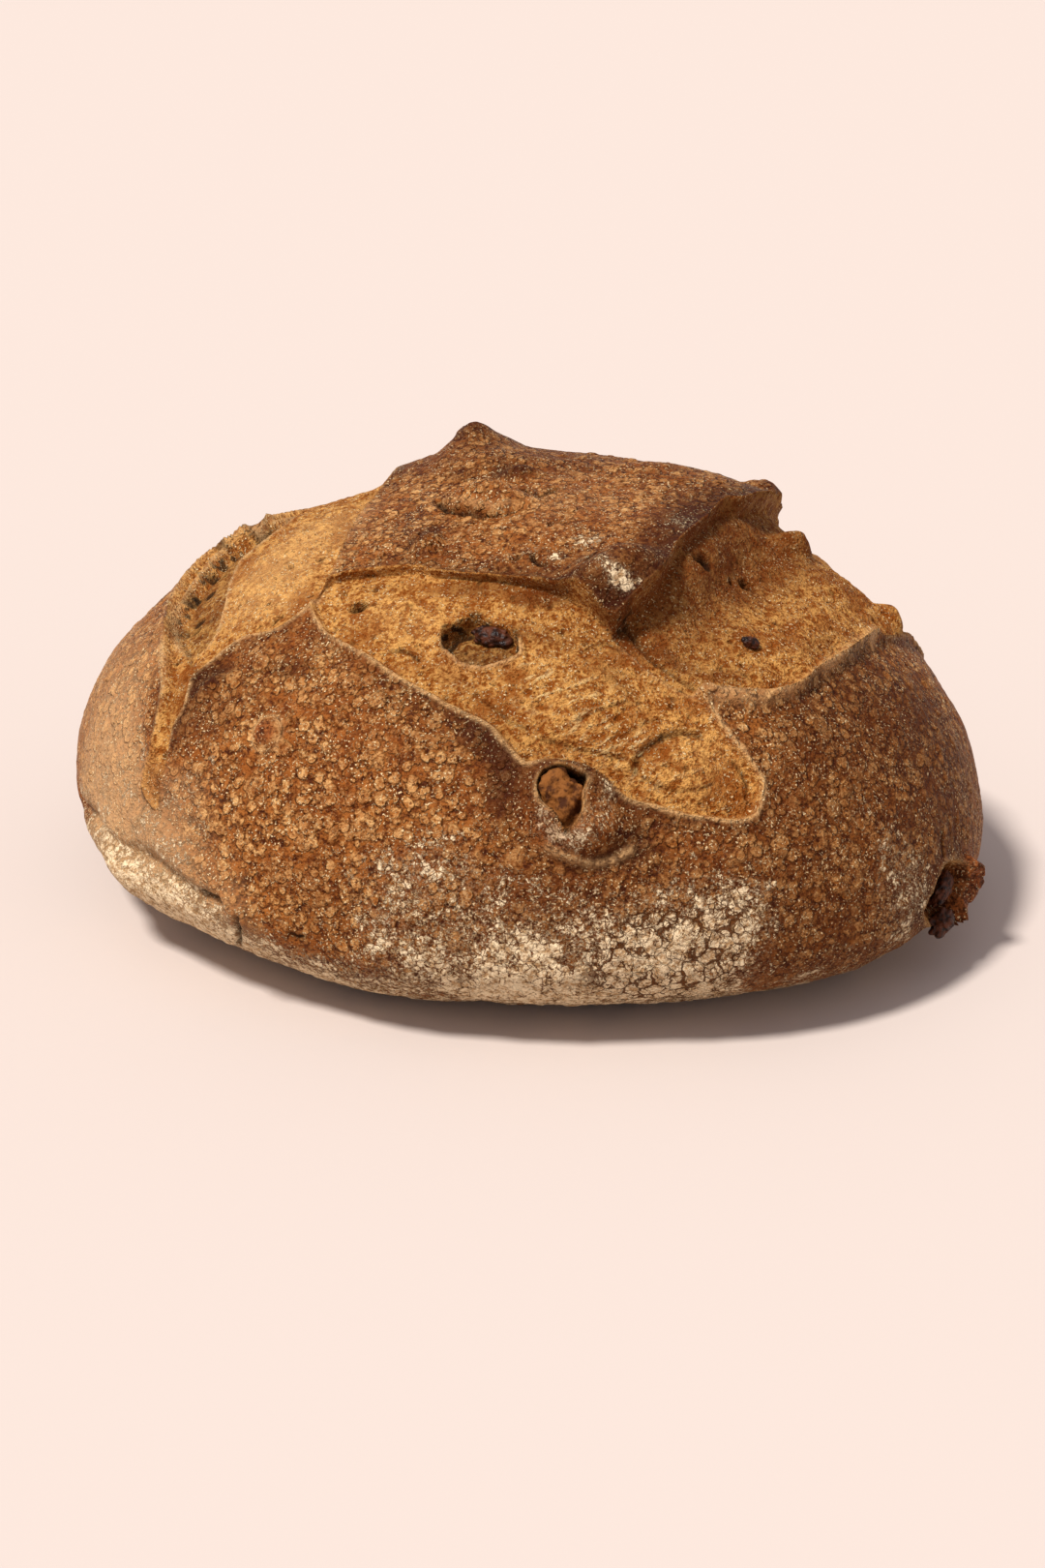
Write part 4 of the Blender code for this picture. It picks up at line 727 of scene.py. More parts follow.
# Flour spots, with painted sheen on the far right side among them
FLOUR_AND_SHEEN = look_spots(FLOUR_AND_SHEEN_PX, 0.010, 0.05)
BAKE_AND_SHADE = look_spots(BAKE_AND_SHADE_PX, 0.012, 0.05)
BLISTERS = look_spots(BLISTER_PX, 0.016, 0.02)
SKIN = look_spots(SKIN_PX, 0.0035, 0.05)


def turned_axes(out, turn):
    """Directions along and across the crust that faces out, turned from the view's right hand."""
    right = unit(np.cross(UP, out))
    up = np.cross(out, right)
    cos, sin = math.cos(math.radians(turn)), math.sin(math.radians(turn))
    return right * cos + up * sin, up * cos - right * sin


def swelling(points, swellings):
    """The height of some rounded swellings."""
    height = np.zeros(len(points))
    for x, y, rise, half_length, half_width, turn in swellings:
        d = on_crust([(x, y)], rise * MM)
        offset = points - on_body(d)[0]
        along, across = turned_axes(d[0], turn)
        out2 = (offset @ along / (half_length * MM)) ** 2 + (offset @ across / (half_width * MM)) ** 2
        out2 += (offset @ d[0] / SWELLING_DEPTH) ** 2
        height += rise * MM * np.maximum(1 - out2 / SWELLING_EDGE, 0) ** 2
    return height


def crust_height(points):
    """The height of the uncut crust above the smooth loaf."""
    return CRUST(points) + swelling(points, CRUST_SWELLINGS)


def laid_outline(parts):
    """A closed Line through outlines that are given in turn by pixels and from above."""
    directions = []
    for from_view, rows in parts:
        if from_view:
            rise = np.zeros(len(rows))
            for _ in range(3):
                d = np.concatenate([on_crust([row], lift) for row, lift in zip(rows, rise)])
                rise = crust_height(on_body(d))
            directions.append(d)
        else:
            directions.append(from_above(rows))
    values = np.array([row[2:] for _, rows in parts for row in rows]) * MM
    curve = closed_spline(np.column_stack((np.concatenate(directions), values)), 6)
    return Line(unit(curve[:, :3]), curve[:, 3:], True)


class Cut:
    """A cut or a small hollow in the crust: its outline, its floor and the painted shade inside it."""

    def __init__(self, parts, floor, shade=0.0):
        self.line = laid_outline(parts)
        self.floor = floor
        self.shade = shade

    def apply(self, points, d, height, lean, wander, look):
        """Cuts the surface: returns the new heights and sideways moves, and marks the look."""
        away, values = self.line.measure(points, d, CUT_REACH)
        away = away + wander
        inside = smooth(-away, -WALL_WIDTH / 2, WALL_WIDTH / 2)
        rim, undercut, inward = values[:, 0], values[:, 1], values[:, 2:5]
        ridge = rim * np.exp(-((np.maximum(away, 0) / RIDGE_WIDTH) ** 2))
        height = height + (1 - inside) * ridge
        height = height + inside * (self.floor(points) - height)
        under = undercut * inside * np.exp(-((away / UNDERCUT_WIDTH) ** 2))
        overhang = smooth(undercut, 0.4 * MM, 0.7 * MM)
        past = away - WALL_WIDTH / 2
        near = np.exp(-(((past - 0.1 * MM) / RIM_WIDTH) ** 2)) * smooth(rim, 0.1 * MM, 0.6 * MM)
        crumb = smooth(-past, -0.4 * MM, 0.3 * MM)
        band = np.exp(-((np.maximum(past, 0) / LIP_WIDTH) ** 2)) * (away < LIP_REACH)
        wall = np.exp(-((away / WALL_WIDTH) ** 2))
        # Painted shade of cavities on the deep walls
        deep = smooth(-self.floor(points), *CAVITY_SHADE_DEPTHS)
        # Painted shade inside a hollow, deepest away from its edge
        hole = self.shade * smooth(-away, 0.2 * MM, 1.6 * MM)
        look.rim *= 1 - crumb
        look.raise_to(rim=near * (1 - overhang), lip=band, crumb=crumb)
        look.raise_to(wall=wall, cavity=wall * deep, hole=hole)
        look.lip *= 1 - crumb
        return height, lean * (1 - inside)[:, None] - under[:, None] * inward


def floor_of(seen, above):
    """A floor that passes near the heights at these places."""
    return Spots(seen, above, FLOOR_SPREAD, FLOOR_CALM)


def level(height):
    """A floor that stands at one height all over."""
    return lambda points: np.full(len(points), height * MM)


def cuts():
    """Every cut and hollow, in the order in which they are made."""
    right = [(True, RIGHT_CUT_LIP_PX), (False, RIGHT_CUT_ABOVE), (True, RIGHT_CUT_RIM_PX)]
    left = [(True, LEFT_CUT_PX), (False, LEFT_CUT_ABOVE), (True, LEFT_CUT_END_PX)]
    return [
        Cut([(True, FRONT_CUT_PX)], floor_of(FRONT_FLOOR_PX, [])),
        Cut(right, floor_of(RIGHT_FLOOR_PX, RIGHT_FLOOR_ABOVE)),
        Cut(left, floor_of(LEFT_FLOOR_PX, LEFT_FLOOR_ABOVE)),
        Cut([(False, BACK_CUT_ABOVE)], floor_of([], BACK_FLOOR_ABOVE)),
        Cut([(True, TROUGH_PX)], level(TROUGH_FLOOR), 0.3),
        Cut([(True, POCKET_PX)], level(POCKET_FLOOR), 0.45),
        Cut([(True, SPLIT_PX)], level(SPLIT_FLOOR), 0.8),
        Cut([(True, SIDE_HOLE_PX)], level(SIDE_HOLE_FLOOR), 1.0),
    ]


def crumb_holes(points, height, look):
    """Sinks the open bubbles of the torn crumb."""
    for x, y, radius, floor in CRUMB_HOLES:
        centre = on_body(on_crust([(x, y)], floor * MM / 2))[0]
        apart = np.sqrt(((points - centre) ** 2).sum(axis=1)) / (radius * MM)
        inside = smooth(-apart, -1.0, -0.5)
        height = height + (floor * MM - height) * inside
        # Painted shade in the open bubble
        look.raise_to(hole=0.95 * smooth(-apart, -0.95, -0.55))
    return height


def cube_sphere(count):
    """Unit directions and quads of a cube's faces, count by count each, blown up to a sphere."""
    t = np.tan((np.arange(count + 1) / count * 2 - 1) * math.pi / 4)
    u, v = np.meshgrid(t, t, indexing="ij")
    one = np.ones_like(u)
    faces = [(one, u, v), (-one, v, u), (v, one, u), (u, -one, v), (u, v, one), (v, u, -one)]
    points = np.concatenate([np.stack(f, axis=-1).reshape(-1, 3) for f in faces])
    corner = (np.arange(count)[:, None] * (count + 1) + np.arange(count)).reshape(-1)
    quad = np.stack((corner, corner + count + 1, corner + count + 2, corner + 1), axis=-1)
    quads = np.concatenate([quad + k * (count + 1) ** 2 for k in range(6)])
    _, first, index = np.unique(np.round(points, 7), axis=0, return_index=True, return_inverse=True)
    return unit(points[first]), index.reshape(-1)[quads]


def normals_of(points, quads):
    a, b, c, d = (points[quads[:, k]] for k in range(4))
    face = np.cross(c - a, d - b)
    total = np.zeros_like(points)
    for k in range(4):
        for axis in range(3):
            total[:, axis] += np.bincount(quads[:, k], weights=face[:, axis], minlength=len(points))
    return unit(total)


def hashed(cell, seed):
    """An even random number from 0 to 1 for each cell of a lattice."""
    mixed = cell[:, 0] * 374761393 + cell[:, 1] * 668265263 + cell[:, 2] * 1442695041 + seed * 974711
    mixed = ((mixed & 0xFFFFFFFF) ^ ((mixed & 0xFFFFFFFF) >> 13)) * 1274126177
    mixed = mixed & 0xFFFFFFFF
    return ((mixed ^ (mixed >> 16)) & 0xFFFFFF) / 0x1000000


def noise(points, size, seed):
    """Smooth noise of about -1 to 1, whose features are about this size."""
    q = points / size + seed * 7.31
    cell = np.floor(q).astype(np.int64)
    f = q - cell
    ease = f * f * f * (f * (f * 6 - 15) + 10)
    total = np.zeros(len(points))
    for corner in itertools.product((0, 1), repeat=3):
        at = cell + corner
        slope = np.column_stack([hashed(at, seed + k) * 2 - 1 for k in (101, 211, 307)])
        weight = np.prod(np.where(np.array(corner), ease, 1 - ease), axis=1)
        total += weight * ((f - corner) * slope).sum(axis=1)
    return total * 1.9


def layered(points, size, seed, layers):
    """Noise with finer and fainter noise on it."""
    turned = points
    total, share = np.zeros(len(points)), 1.0
    for k in range(layers):
        total += share * noise(turned, size / 2**k, seed + k)
        turned = turned @ NOISE_TURN
        share *= 0.5
    return total


def bubbles(points, size, seed, share, smallest, largest):
    """Round bubbles on a random lattice of this size: 1 in the middle of each and 0 outside all.

    A share of the cells have one, and the radii go from smallest to largest in cells.
    """
    q = points / size + seed * 3.17
    cell = np.floor(q).astype(np.int64)
    best = np.zeros(len(points))
    for corner in itertools.product((-1, 0, 1), repeat=3):
        at = cell + corner
        centre = at + np.column_stack([hashed(at, seed + k) for k in (11, 23, 37)])
        radius = smallest + (largest - smallest) * hashed(at, seed + 53)
        out2 = ((q - centre) ** 2).sum(axis=1) / radius**2
        best = np.maximum(best, np.where(hashed(at, seed + 71) < share, 1 - out2, 0))
    return best


def lines_near(points, d, look):
    """The height of the grooves and ridges, which also mark the look."""
    height = np.zeros(len(points))
    for half_width, rise, shade, lift, px in GROOVES:
        directions = np.concatenate([on_crust([p], lift * MM) for p in px])
        line = Line(directions, np.zeros((len(px), 1)), False)
        away, _ = line.measure(points, d, 5 * half_width * MM)
        away = np.maximum(away + 0.25 * half_width * MM * noise(points, 0.0017, 61), 0)
        near = np.exp(-((away / (half_width * MM)) ** 2))
        height += rise * MM * near
        # Painted shade along a groove where shade is positive, a pale rim along a ridge where it is negative
        look.raise_to(dark=shade * near, rim=-shade * near)
    return height


class Look:
    """What the crust's material is told at each vertex: 0 to 1, or -1 to 1 for browning with painted shade.
    """

    def __init__(self, count):
        for name in MARKS:
            setattr(self, name, np.zeros(count))

    def raise_to(self, **marks):
        """Raises marks to these values where they are lower."""
        for name, value in marks.items():
            setattr(self, name, np.maximum(getattr(self, name), value))

    def store(self, mesh):
        for name in MARKS:
            layer = mesh.attributes.new(name, "FLOAT", "POINT")
            layer.data.foreach_set("value", getattr(self, name).astype(np.float32))


def large_blisters(points, look):
    """The blisters that are large enough to have a place of their own."""
    height = np.zeros(len(points))
    for x, y, radius in LARGE_BLISTERS:
        centre = on_body(on_crust([(x, y)]))[0]
        out2 = ((points - centre) ** 2).sum(axis=1) / (radius * PIXEL) ** 2
        height = np.maximum(height, (0.25 + 0.03 * radius) * smooth(1 - out2, 0, 0.7))
        golden = smooth(1 - out2, 0, 0.15) * (0.35 + 0.65 * smooth(out2, 0.2, 0.7))
        single = smooth(radius, 14, 18)
        middle = 0.85 * single * smooth(0.55 - out2, 0, 0.3)
        ring = 0.6 * single * np.exp(-(((np.sqrt(out2) - 0.92) / 0.12) ** 2))
        look.raise_to(blister=golden, skin=middle, rim=ring)
    return height


def crust_relief(points, look):
    """Blisters, waves and roughness of the baked crust, in metres."""
    small = bubbles(points, BLISTER_SIZE, 17, share=0.6, smallest=0.22, largest=0.44)
    strength = np.clip(BLISTERS(points) + 0.7 * smooth(points[:, 1], 0, 0.03), 0, 1)
    look.bubbly = strength
    domes = np.maximum(large_blisters(points, look), 0.28 * smooth(small, 0, 0.5) * strength)
    look.raise_to(blister=0.7 * smooth(small, 0, 0.4) * strength)
    waves = 0.55 * noise(points, WAVE_SIZES[0], 3) + 0.25 * noise(points, WAVE_SIZES[1], 4)
    rough = 0.14 * layered(points, ROUGH_SIZE, 9, 2)
    return (waves + rough + domes) * MM


def crumb_relief(points, look):
    """The torn crumb: strands along the tear, grain and open pores, in metres."""
    along = points @ STRAND
    squeezed = points - (1 - 1 / STRAND_LENGTH) * along[:, None] * STRAND
    look.streak = np.clip(swelling(points, STREAKS) / MM, 0, 1)
    strands = 0.34 * layered(squeezed, ROUGH_SIZE, 43, 2) * look.streak
    grain = 0.30 * layered(points, GRAIN_SIZE, 47, 3)
    pores = smooth(bubbles(points, PORE_SIZE, 53, share=0.22, smallest=0.14, largest=0.34), 0, 0.5)
    pits = smooth(bubbles(points, PIT_SIZE, 59, share=0.16, smallest=0.10, largest=0.24), 0, 0.5)
    # Where the crumb's colour gets painted shade in its pores and pits
    look.pore = np.maximum(pores * 0.7, pits)
    lumps = 0.35 * noise(points, LUMP_SIZE, 67)
    return (strands + grain - 0.45 * pores - 0.9 * pits + lumps) * MM


def flour_relief(points, look):
    """Where flour lies, thickest low down, and its caked thickness in metres."""
    low = smooth(-points[:, 2], -0.016, -0.002) * (0.95 + 0.40 * noise(points, DRIFT_SIZE, 73))
    patches = swelling(points, FLOUR_PATCHES) / MM
    # The flour mark also carries the painted sheen on the far right side
    look.flour = np.clip(np.maximum(FLOUR_AND_SHEEN(points) + patches, low), 0, 1)
    apart2 = ((points - on_body(on_crust([CRAZED_PX]))) ** 2).sum(axis=1)
    look.craze = smooth(look.flour, 0.45, 0.8) * np.exp(-apart2 / CRAZED_REACH**2)
    clumps = 0.5 + 0.5 * layered(points, CLUMP_SIZE, 79, 3)
    return 0.45 * MM * clumps * smooth(look.flour, 0.3, 0.8)


def loaf_shape(d, quads):
    """The loaf's surface in these directions, and what its material is told."""
    base = on_body(d)
    look = Look(len(d))
    height = crust_height(base)
    lean = np.zeros_like(base)
    wander = 0.30 * MM * layered(base, WANDER_SIZE, 97, 3)
    for cut in cuts():
        height, lean = cut.apply(base, d, height, lean, wander, look)
    height = crumb_holes(base, height, look) + swelling(base, FLOOR_SWELLINGS)
    grooves = lines_near(base, d, look)
    # The painted shade of the hollows joins that of the grooves
    look.raise_to(dark=look.hole)
    crust = crust_relief(base, look) + flour_relief(base, look) * (1 - look.crumb)
    relief = crust * (1 - look.crumb) + crumb_relief(base, look) * look.crumb
    height += grooves + relief * (1 - WALL_CALM * look.wall)
    # Browning, with painted shade on the right side and under the top crust's lip
    look.bake = np.clip(BAKE_AND_SHADE(base) + swelling(base, SCORCHES_AND_SHADE) / MM, -1, 1)
    look.raise_to(skin=SKIN(base))
    look.flour *= 1 - 0.9 * look.crumb
    points = base + height[:, None] * normals_of(base, quads) + lean
    points[:, 2] = np.maximum(points[:, 2], 0)
    return points, look


def mesh_of(name, points, quads):
    """A smooth mesh whose UV map lays the six faces of its cube out in three columns and two rows."""
    mesh = bpy.data.meshes.new(name)
    mesh.from_pydata(points.tolist(), [], quads.tolist())
    mesh.shade_smooth()
    per_face = len(quads) // 6
    count = math.isqrt(per_face)
    row, column = np.divmod(np.arange(per_face), count)
    corners = np.array([(0, 0), (1, 0), (1, 1), (0, 1)])
    inside = (np.stack((row, column), axis=-1)[:, None] + corners) / count
    tiles = [((k % 3) / 3, (k // 3) / 2) for k in range(6)]
    size = np.array((1 / 3, 1 / 2))
    uv = np.concatenate([tile + size * (ATLAS_MARGIN + inside * (1 - 2 * ATLAS_MARGIN)) for tile in tiles])
    layer = mesh.uv_layers.new(name="OFBake")
    layer.data.foreach_set("uv", uv.astype(np.float32).ravel())
    return mesh


def linked(name, data):
    """A new object in the scene."""
    made = bpy.data.objects.new(name, data)
    bpy.context.scene.collection.objects.link(made)
    return made


def placed(name, mesh, finish):
    """A new mesh object with its material."""
    mesh.materials.append(finish)
    return linked(name, mesh)


class Nodes:
    """Short calls for making a material's nodes and links."""

    def __init__(self, name):
        self.material = bpy.data.materials.new(name)
        self.material.use_nodes = True
        self.tree = self.material.node_tree
        self.shader = self.tree.nodes["Principled BSDF"]

    def link(self, source, socket):
        if hasattr(source, "links"):
            self.tree.links.new(source, socket)
        else:
            socket.default_value = source

    def node(self, kind, inputs, **settings):
        """A new node with these settings, and with its inputs linked or set by their names or numbers."""
        made = self.tree.nodes.new("ShaderNode" + kind)
        for name, value in settings.items():
            setattr(made, name, value)
        for name, source in inputs.items():
            self.link(source, made.inputs[name])
        return made

    def surface(self, colour, roughness, specular):
        """What the shader itself is given."""
        self.link(colour, self.shader.inputs["Base Color"])
        self.link(roughness, self.shader.inputs["Roughness"])
        self.link(specular, self.shader.inputs["Specular IOR Level"])

    def mark(self, name):
        return self.node("Attribute", {}, attribute_name=name).outputs["Fac"]

    def place(self):
        return self.node("TexCoord", {}).outputs["Object"]

    def squeezed(self, place, direction, length):
        """Places drawn together along a direction, so that a texture read there is this much longer."""
        along = self.node("VectorMath", {0: place, 1: direction}, operation="DOT_PRODUCT").outputs["Value"]
        share = self.times(along, 1 / length - 1)
        pull = self.node("VectorMath", {0: direction, "Scale": share}, operation="SCALE").outputs["Vector"]
        return self.node("VectorMath", {0: place, 1: pull}).outputs["Vector"]

    def jostled(self, size, reach, detail=2.0):
        """Places pushed about by noise of this size."""
        noise = self.node("TexNoise", {"Vector": self.place(), "Scale": 1 / size, "Detail": detail})
        inputs = {0: noise.outputs["Color"], 1: (reach, reach, reach), 2: self.place()}
        return self.node("VectorMath", inputs, operation="MULTIPLY_ADD").outputs["Vector"]

    def noise(self, size, detail=2.0, roughness=0.5, vector=None):
        """Noise from 0 to 1 with features of this size in metres."""
        place = vector or self.place()
        inputs = {"Vector": place, "Scale": 1 / size, "Detail": detail, "Roughness": roughness}
        return self.node("TexNoise", inputs).outputs["Fac"]

    def cells(self, size):
        """Distance to the nearest of some random places, in steps of this size, and its own random number."""
        place = self.jostled(1.1 * size, 0.8 * size, 3.0)
        cell = self.node("TexVoronoi", {"Vector": place, "Scale": 1 / size}, feature="F1")
        pick = self.node("SeparateColor", {"Color": cell.outputs["Color"]})
        return cell.outputs["Distance"], pick.outputs["Red"]

    def cell_edges(self, size):
        """Distance to the nearest edge between random cells, in steps of this size."""
        place = self.jostled(0.8 * size, 0.9 * size, 4.0)
        cell = self.node("TexVoronoi", {"Vector": place, "Scale": 1 / size}, feature="DISTANCE_TO_EDGE")
        return cell.outputs["Distance"]

    def math(self, operation, a, b):
        return self.node("Math", {0: a, 1: b}, operation=operation).outputs[0]

    def times(self, a, b):
        return self.math("MULTIPLY", a, b)

    def plus(self, a, b):
        return self.math("ADD", a, b)

    def minus(self, a, b):
        return self.math("SUBTRACT", a, b)

    def most(self, a, b):
        return self.math("MAXIMUM", a, b)

    def ramp(self, value, low, high, bottom=0.0, top=1.0):
        """value between low and high, eased and spread over bottom to top."""
        inputs = dict(enumerate((value, low, high, bottom, top)))
        return self.node("MapRange", inputs, interpolation_type="SMOOTHSTEP").outputs[0]

    def mix(self, share, a, b):
        return self.node("Mix", {"Factor": share, "A": a, "B": b}, data_type="RGBA").outputs["Result"]

    def coated(self, colour, *coats):
        """A colour under coats of others, each with its share."""
        for share, coat in coats:
            colour = self.mix(share, colour, coat)
        return colour

    def bump(self, height, distance, strength):
        made = self.node("Bump", {"Strength": strength, "Distance": distance, "Height": height})
        self.link(made.outputs["Normal"], self.shader.inputs["Normal"])


def crust_colour(n, fine, grain):
    """Brown crust set with golden blisters, and how high its bubbles stand."""
    bake, bubbly = n.mark("bake"), n.mark("bubbly")
    (large, large_pick), (small, small_pick) = (n.cells(size) for size in BUBBLE_SIZES)
    picked = n.ramp(large_pick, 0.36, 0.44)
    domes = n.times(n.ramp(large, 0.54, 0.38), picked)
    beads = n.times(n.times(n.ramp(small, 0.54, 0.30), n.ramp(small_pick, 0.22, 0.30)), 0.8)
    bubble = n.most(n.times(n.most(domes, beads), n.ramp(bubbly, 0, 1, 0.15, 1)), n.mark("blister"))
    patches = n.noise(BAKE_PATCH_SIZE, 4, 0.6)
    gold = n.mix(n.times(n.ramp(fine, 0.38, 0.62), n.ramp(bake, 0, 0.7, 1, 0.45)), CRUST_AMBER, CRUST_GOLD)
    golden = n.times(bubble, n.ramp(grain, 0.30, 0.58, 0.25, 0.95))
    ring = n.times(n.ramp(large, 0.38, 0.47), n.ramp(large, 0.60, 0.50))
    ring = n.times(ring, n.times(picked, bubbly))
    pits = n.noise(CRUST_PIT_SIZE, 4, 0.65)
    curl = n.math("ABSOLUTE", n.minus(n.noise(SCALE_SIZE, 3, 0.6), 0.5), 0)
    scaly = n.ramp(n.noise(SCALE_PATCH_SIZE, 2), 0.48, 0.60)
    scales = n.times(n.ramp(curl, 0.012, 0.0, 0, 0.5), scaly)
    colour = n.coated(
        CRUST_DARK,
        (n.ramp(fine, 0.38, 0.58), CRUST_BROWN),
        (n.ramp(patches, 0.42, 0.62, 0, 0.4), CRUST_RED),
        # Deeper brown where baked darker, and as painted shade on the right side
        (n.ramp(bake, 0, 1, 0, 0.75), CRUST_BURNT_AND_SHADE),
        (n.times(golden, n.ramp(patches, 0.62, 0.40, 0.5, 1)), gold),
        (n.times(ring, 0.25), CRUST_DARK),
        (n.ramp(pits, 0.45, 0.36, 0, 0.75), CRUST_DARK),
        (scales, CRUST_GOLD),
        (n.ramp(bake, 0, 1, 0, 0.6), CRUST_BURNT_AND_SHADE),
        (n.ramp(n.times(bake, -1), 0, 1, 0, 0.7), CRUST_PALE),
    )
    return colour, bubble


def crumb_colour(n, fine, grain):
    """Golden torn crumb with pale strands, toasted where marked, and painted shade in its pores and cavities.
    """
    bake, streak = n.mark("bake"), n.mark("streak")
    drawn = n.squeezed(n.jostled(4 * STRAND_SIZE, 2 * STRAND_SIZE), STRAND, STRAND_LENGTH)
    strands = n.noise(STRAND_SIZE, 4, 0.6, drawn)
    # Painted shade in the crumb's small holes, specks, pores and cavities
    small_holes = n.ramp(n.noise(CRUMB_HOLE_SIZE, 3, 0.6), 0.36, 0.30, 0, 0.7)
    specks = n.most(n.ramp(grain, 0.38, 0.30, 0, 0.5), small_holes)
    cavities = n.times(n.ramp(n.noise(CAVITY_SHADE_SIZE, 4, 0.6), 0.52, 0.60), n.mark("cavity"))
    holes = n.most(n.times(n.mark("pore"), 0.75), n.most(specks, cavities))
    colour = n.coated(
        CRUMB_BROWN,
        (n.ramp(fine, 0.41, 0.58), CRUMB_GOLD),
        (n.ramp(n.noise(TOAST_SIZE, 5, 0.65), 0.47, 0.62, 0, 0.7), CRUMB_TOAST),
        (n.times(n.ramp(strands, 0.54, 0.68, 0, 0.7), streak), CRUMB_PALE),
        (n.times(n.ramp(strands, 0.44, 0.34, 0, 0.7), streak), CRUMB_TOAST),
        # Burnt crumb, and painted shade on the wall under the top crust's lip
        (n.ramp(bake, 0, 1, 0, 0.8), CRUMB_BURNT_AND_SHADE),
        (n.ramp(n.times(bake, -1), 0, 1, 0, 0.6), CRUMB_LIGHT),
        (holes, CRUMB_SHADE),
    )
    return colour, strands


def flour_cover(n):
    """How much flour covers: caked patches with flaked edges, and a dusting round them, partly painted sheen.
    """
    flour = n.mark("flour")
    coarse, powdery = n.noise(POWDER_SIZES[0], 5, 0.75), n.noise(POWDER_SIZES[1], 4, 0.75)
    powder = n.plus(n.times(coarse, 0.9), n.times(powdery, 0.8))
    flakes = n.ramp(n.cell_edges(FLAKE_SIZE), 0.10, 0.0, 0, 0.3)
    caked = n.minus(n.plus(flour, n.times(n.minus(powder, 0.85), 1.9)), flakes)
    # A fine dusting round the flour, which on the far right side is painted sheen
    haze_and_sheen = n.times(n.ramp(n.noise(HAZE_AND_SHEEN_SIZE, 3, 0.7), 0.46, 0.62), n.ramp(flour, 0.25, 0.8, 0, 0.5))
    return n.most(n.ramp(caked, 0.44, 0.66), haze_and_sheen)


def flour_cracks(n):
    """Cracks of uneven width between large and small cells of the caked flour."""
    large, small = (n.cell_edges(size) for size in CRACK_CELLS)
    edge = n.math("MINIMUM", large, n.times(small, 2.2))
    width = n.ramp(n.noise(CRACK_WIDTH_SIZE, 3, 0.6), 0.38, 0.66, -0.02, 0.05)
    return n.times(n.ramp(n.minus(edge, width), 0.04, 0.0), n.ramp(n.mark("craze"), 0.12, 0.35))


def bread():
    """Crust, crumb, flour, rims, torn skin and cracks in one material, told apart by the loaf's marks."""
    # The material also paints shade in grooves and hollows, and glints of highlight
    n = Nodes("bread")
    bake, torn = n.mark("bake"), n.mark("crumb")
    fine = n.plus(n.times(n.noise(FINE_SIZES[0], 4, 0.65), 0.6), n.times(n.noise(FINE_SIZES[1], 3), 0.4))
    grain = n.noise(SPECK_SIZE, 2)
    crust, bubble = crust_colour(n, fine, grain)
    crumb, strands = crumb_colour(n, fine, grain)
    dust = flour_cover(n)
    cracks = flour_cracks(n)
    scorched = n.times(n.mark("lip"), n.ramp(bake, -0.3, 0.3, 0, 0.55))
    # Pale specks of grit that are also painted glints of highlight, in patches, and fainter on deeper browns
    grit_and_glint_patches = n.ramp(n.noise(GRIT_AND_GLINT_PATCH_SIZE, 3), 0.38, 0.56)
    glint = n.times(n.ramp(n.noise(GRIT_AND_GLINT_SIZE, 2, 0.4), 0.60, 0.67), grit_and_glint_patches)
    glint = n.times(glint, n.ramp(bake, 0, 1, 0.8, 0.35))
    colour = n.coated(
        crust,
        (scorched, CRUST_BURNT_AND_SHADE),
        (torn, crumb),
        (n.times(dust, 0.92), n.mix(n.ramp(fine, 0.40, 0.56), FLOUR_TAN, FLOUR_CREAM)),
        # Pale rims of cuts and blisters, and painted highlight along lit ridges
        (n.times(n.mark("rim"), n.ramp(fine, 0.36, 0.58, 0.25, 0.9)), RIM_CREAM_AND_HIGHLIGHT),
        (n.mark("skin"), n.mix(n.ramp(fine, 0.40, 0.60), SKIN_DARK, SKIN_ORANGE)),
        (glint, GRIT_AND_GLINT),
        (n.times(cracks, 0.95), CRACK),
        # Painted shade in grooves, hollows and open bubbles
        (n.times(n.mark("dark"), 0.94), PAINTED_SHADE_COLOUR),
    )
    dull = n.most(n.times(torn, 0.5), dust)
    n.surface(colour, n.ramp(dull, 0, 1, 0.50, 0.92), 0.06)
    streaks = n.times(torn, n.ramp(n.mark("streak"), 0, 1, 0.2, 1.2))
    relief = n.times(bubble, n.ramp(torn, 0, 1, 0.55, 0))
    for source, share in (
        (fine, n.ramp(torn, 0, 1, 0.9, 1.5)), (grain, n.ramp(torn, 0, 1, 0.3, 0.6)), (strands, streaks),
        (glint, 0.35), (dust, 0.3), (cracks, -0.8),
    ):
        relief = n.plus(relief, n.times(source, share))
    n.bump(relief, BREAD_DEPTH, 1.0)
    return n.material


def raisin_finish():
    """Dark wrinkled skin with a dull bloom."""
    n = Nodes("raisin_skin")
    bloom = n.noise(BLOOM_SIZE, 3)
    colour = n.mix(n.ramp(bloom, 0.35, 0.65), RAISIN_DARK, RAISIN_BLOOM)
    n.surface(colour, n.ramp(bloom, 0.3, 0.7, 0.32, 0.6), 0.2)
    n.bump(n.noise(RAISIN_CREASE_SIZE, 3), RAISIN_DEPTH, 0.8)
    return n.material


def walnut_finish():
    """Roasted walnut: brown skin with darker veins."""
    n = Nodes("walnut_skin")
    veins = n.noise(VEIN_SIZE, 5, 0.6)
    n.surface(n.mix(n.ramp(veins, 0.40, 0.58), WALNUT_DARK, WALNUT_TAN), 0.7, 0.1)
    n.bump(veins, WALNUT_DEPTH, 1.0)
    return n.material


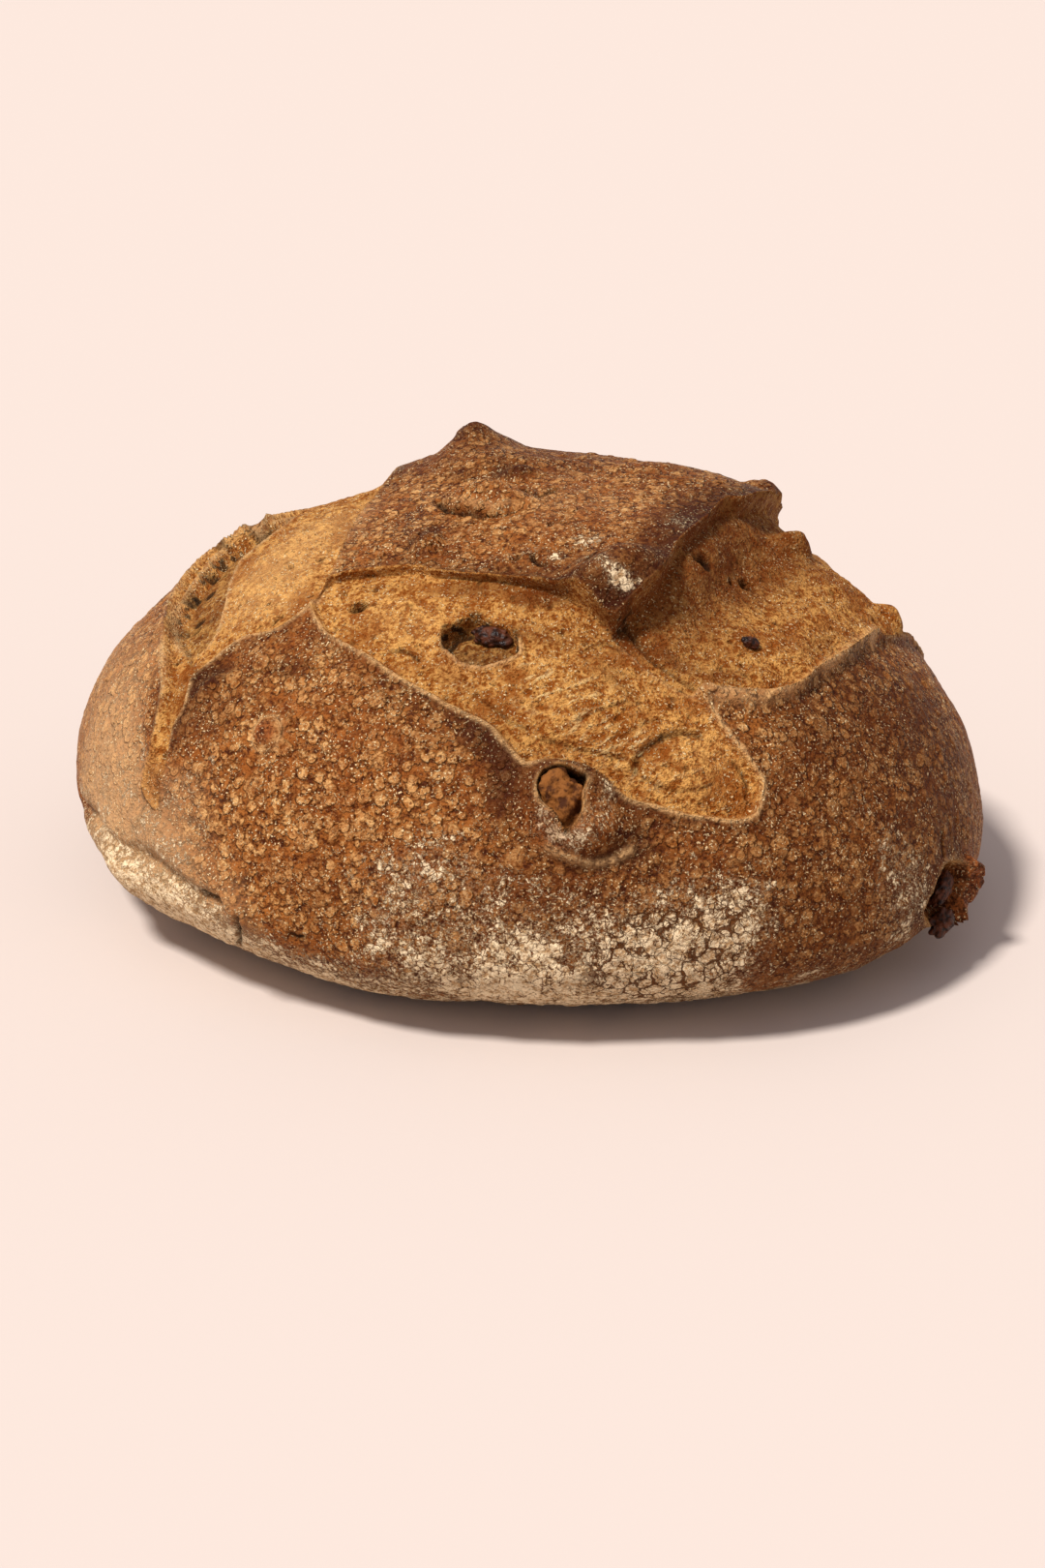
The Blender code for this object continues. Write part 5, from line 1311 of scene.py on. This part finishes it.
def wrinkled(d, half_sizes, wrinkles, depth, seed):
    """A dried fruit or a nut: a rounded body, furrowed along great circles that are drawn at random."""
    draw = np.random.default_rng(seed)
    poles = unit(draw.normal(size=(wrinkles, 3)))
    phases = draw.uniform(0, math.pi, wrinkles)
    furrow = np.zeros(len(d))
    for pole, phase in zip(poles, phases):
        furrow += np.exp(-(((d @ pole - 0.5 * math.cos(phase)) / 0.16) ** 2))
    radius = 1 - depth * np.minimum(furrow, 1.6) + depth * 0.5
    return d * radius[:, None] * np.array(half_sizes) * MM


def frame_at(px, rise, turn):
    """The place, and axes along, across and out of the crust, at a pixel and a height above it."""
    out = on_crust([px], rise * MM)[0]
    place = on_body(out[None])[0] + rise * MM * out
    return place, np.array((*turned_axes(out, turn), out))


def add_loaf():
    d, quads = cube_sphere(GRID)
    points, look = loaf_shape(unit(d + FACING), quads)
    loaf = placed("loaf_crust", mesh_of("loaf_crust", points, quads), bread())
    look.store(loaf.data)
    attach(loaf, "root")
    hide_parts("loaf")


def add_inlays():
    """The raisins and the walnut."""
    d, quads = cube_sphere(INLAY_GRID)
    finishes = {"raisin": raisin_finish(), "walnut": walnut_finish()}
    for name, px, rise, half_sizes, turn, wrinkles, depth, seed in PIECES:
        kind = name.split("_")[0]
        place, axes = frame_at(px, rise, turn)
        local = wrinkled(d, half_sizes, wrinkles, depth, seed)
        local += d * (ROUGHNESS[kind] * MM * layered(local, SKIN_FOLD_SIZE, seed, 3))[:, None]
        piece = placed(name + "_fine", mesh_of(name + "_fine", place + local @ axes, quads), finishes[kind])
        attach(piece, "root")
        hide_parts(name)


def add_floor():
    mesh = bpy.data.meshes.new("floor")
    corners = [(x * FLOOR_HALF, y * FLOOR_HALF, 0) for x, y in ((-1, -1), (1, -1), (1, 1), (-1, 1))]
    mesh.from_pydata(corners, [], [(0, 1, 2, 3)])
    n = Nodes("floor")
    n.surface(FLOOR_COLOUR, 0.9, 0.1)
    placed("floor", mesh, n.material)


def add_lights():
    data = bpy.data.lights.new("key", "SUN")
    data.energy = KEY_STRENGTH
    data.angle = KEY_SPREAD
    data.color = KEY_COLOUR
    key = linked("key", data)
    key.location = KEY_FROM
    key.rotation_euler = Vector(KEY_FROM).to_track_quat("Z", "Y").to_euler()
    world = bpy.data.worlds.new("studio")
    bpy.context.scene.world = world
    world.use_nodes = True
    sky = world.node_tree.nodes["Background"]
    sky.inputs["Color"].default_value = SKY_COLOUR
    sky.inputs["Strength"].default_value = SKY_STRENGTH
    bpy.context.scene.view_settings.view_transform = "Standard"


def add_camera():
    data = bpy.data.cameras.new("camera")
    data.sensor_fit = "AUTO"
    data.sensor_width = SENSOR_WIDTH
    data.lens = SENSOR_WIDTH * VIEW_DISTANCE / (FRAME_HEIGHT_PX * PIXEL)
    data.clip_start, data.clip_end = 0.01, 20
    camera = linked("camera", data)
    camera.location = EYE
    camera.rotation_mode = "QUATERNION"
    camera.rotation_quaternion = Vector(BACK).to_track_quat("Z", "Y")
    bpy.context.scene.camera = camera


add_camera()
add_loaf()
add_inlays()
add_floor()
add_lights()
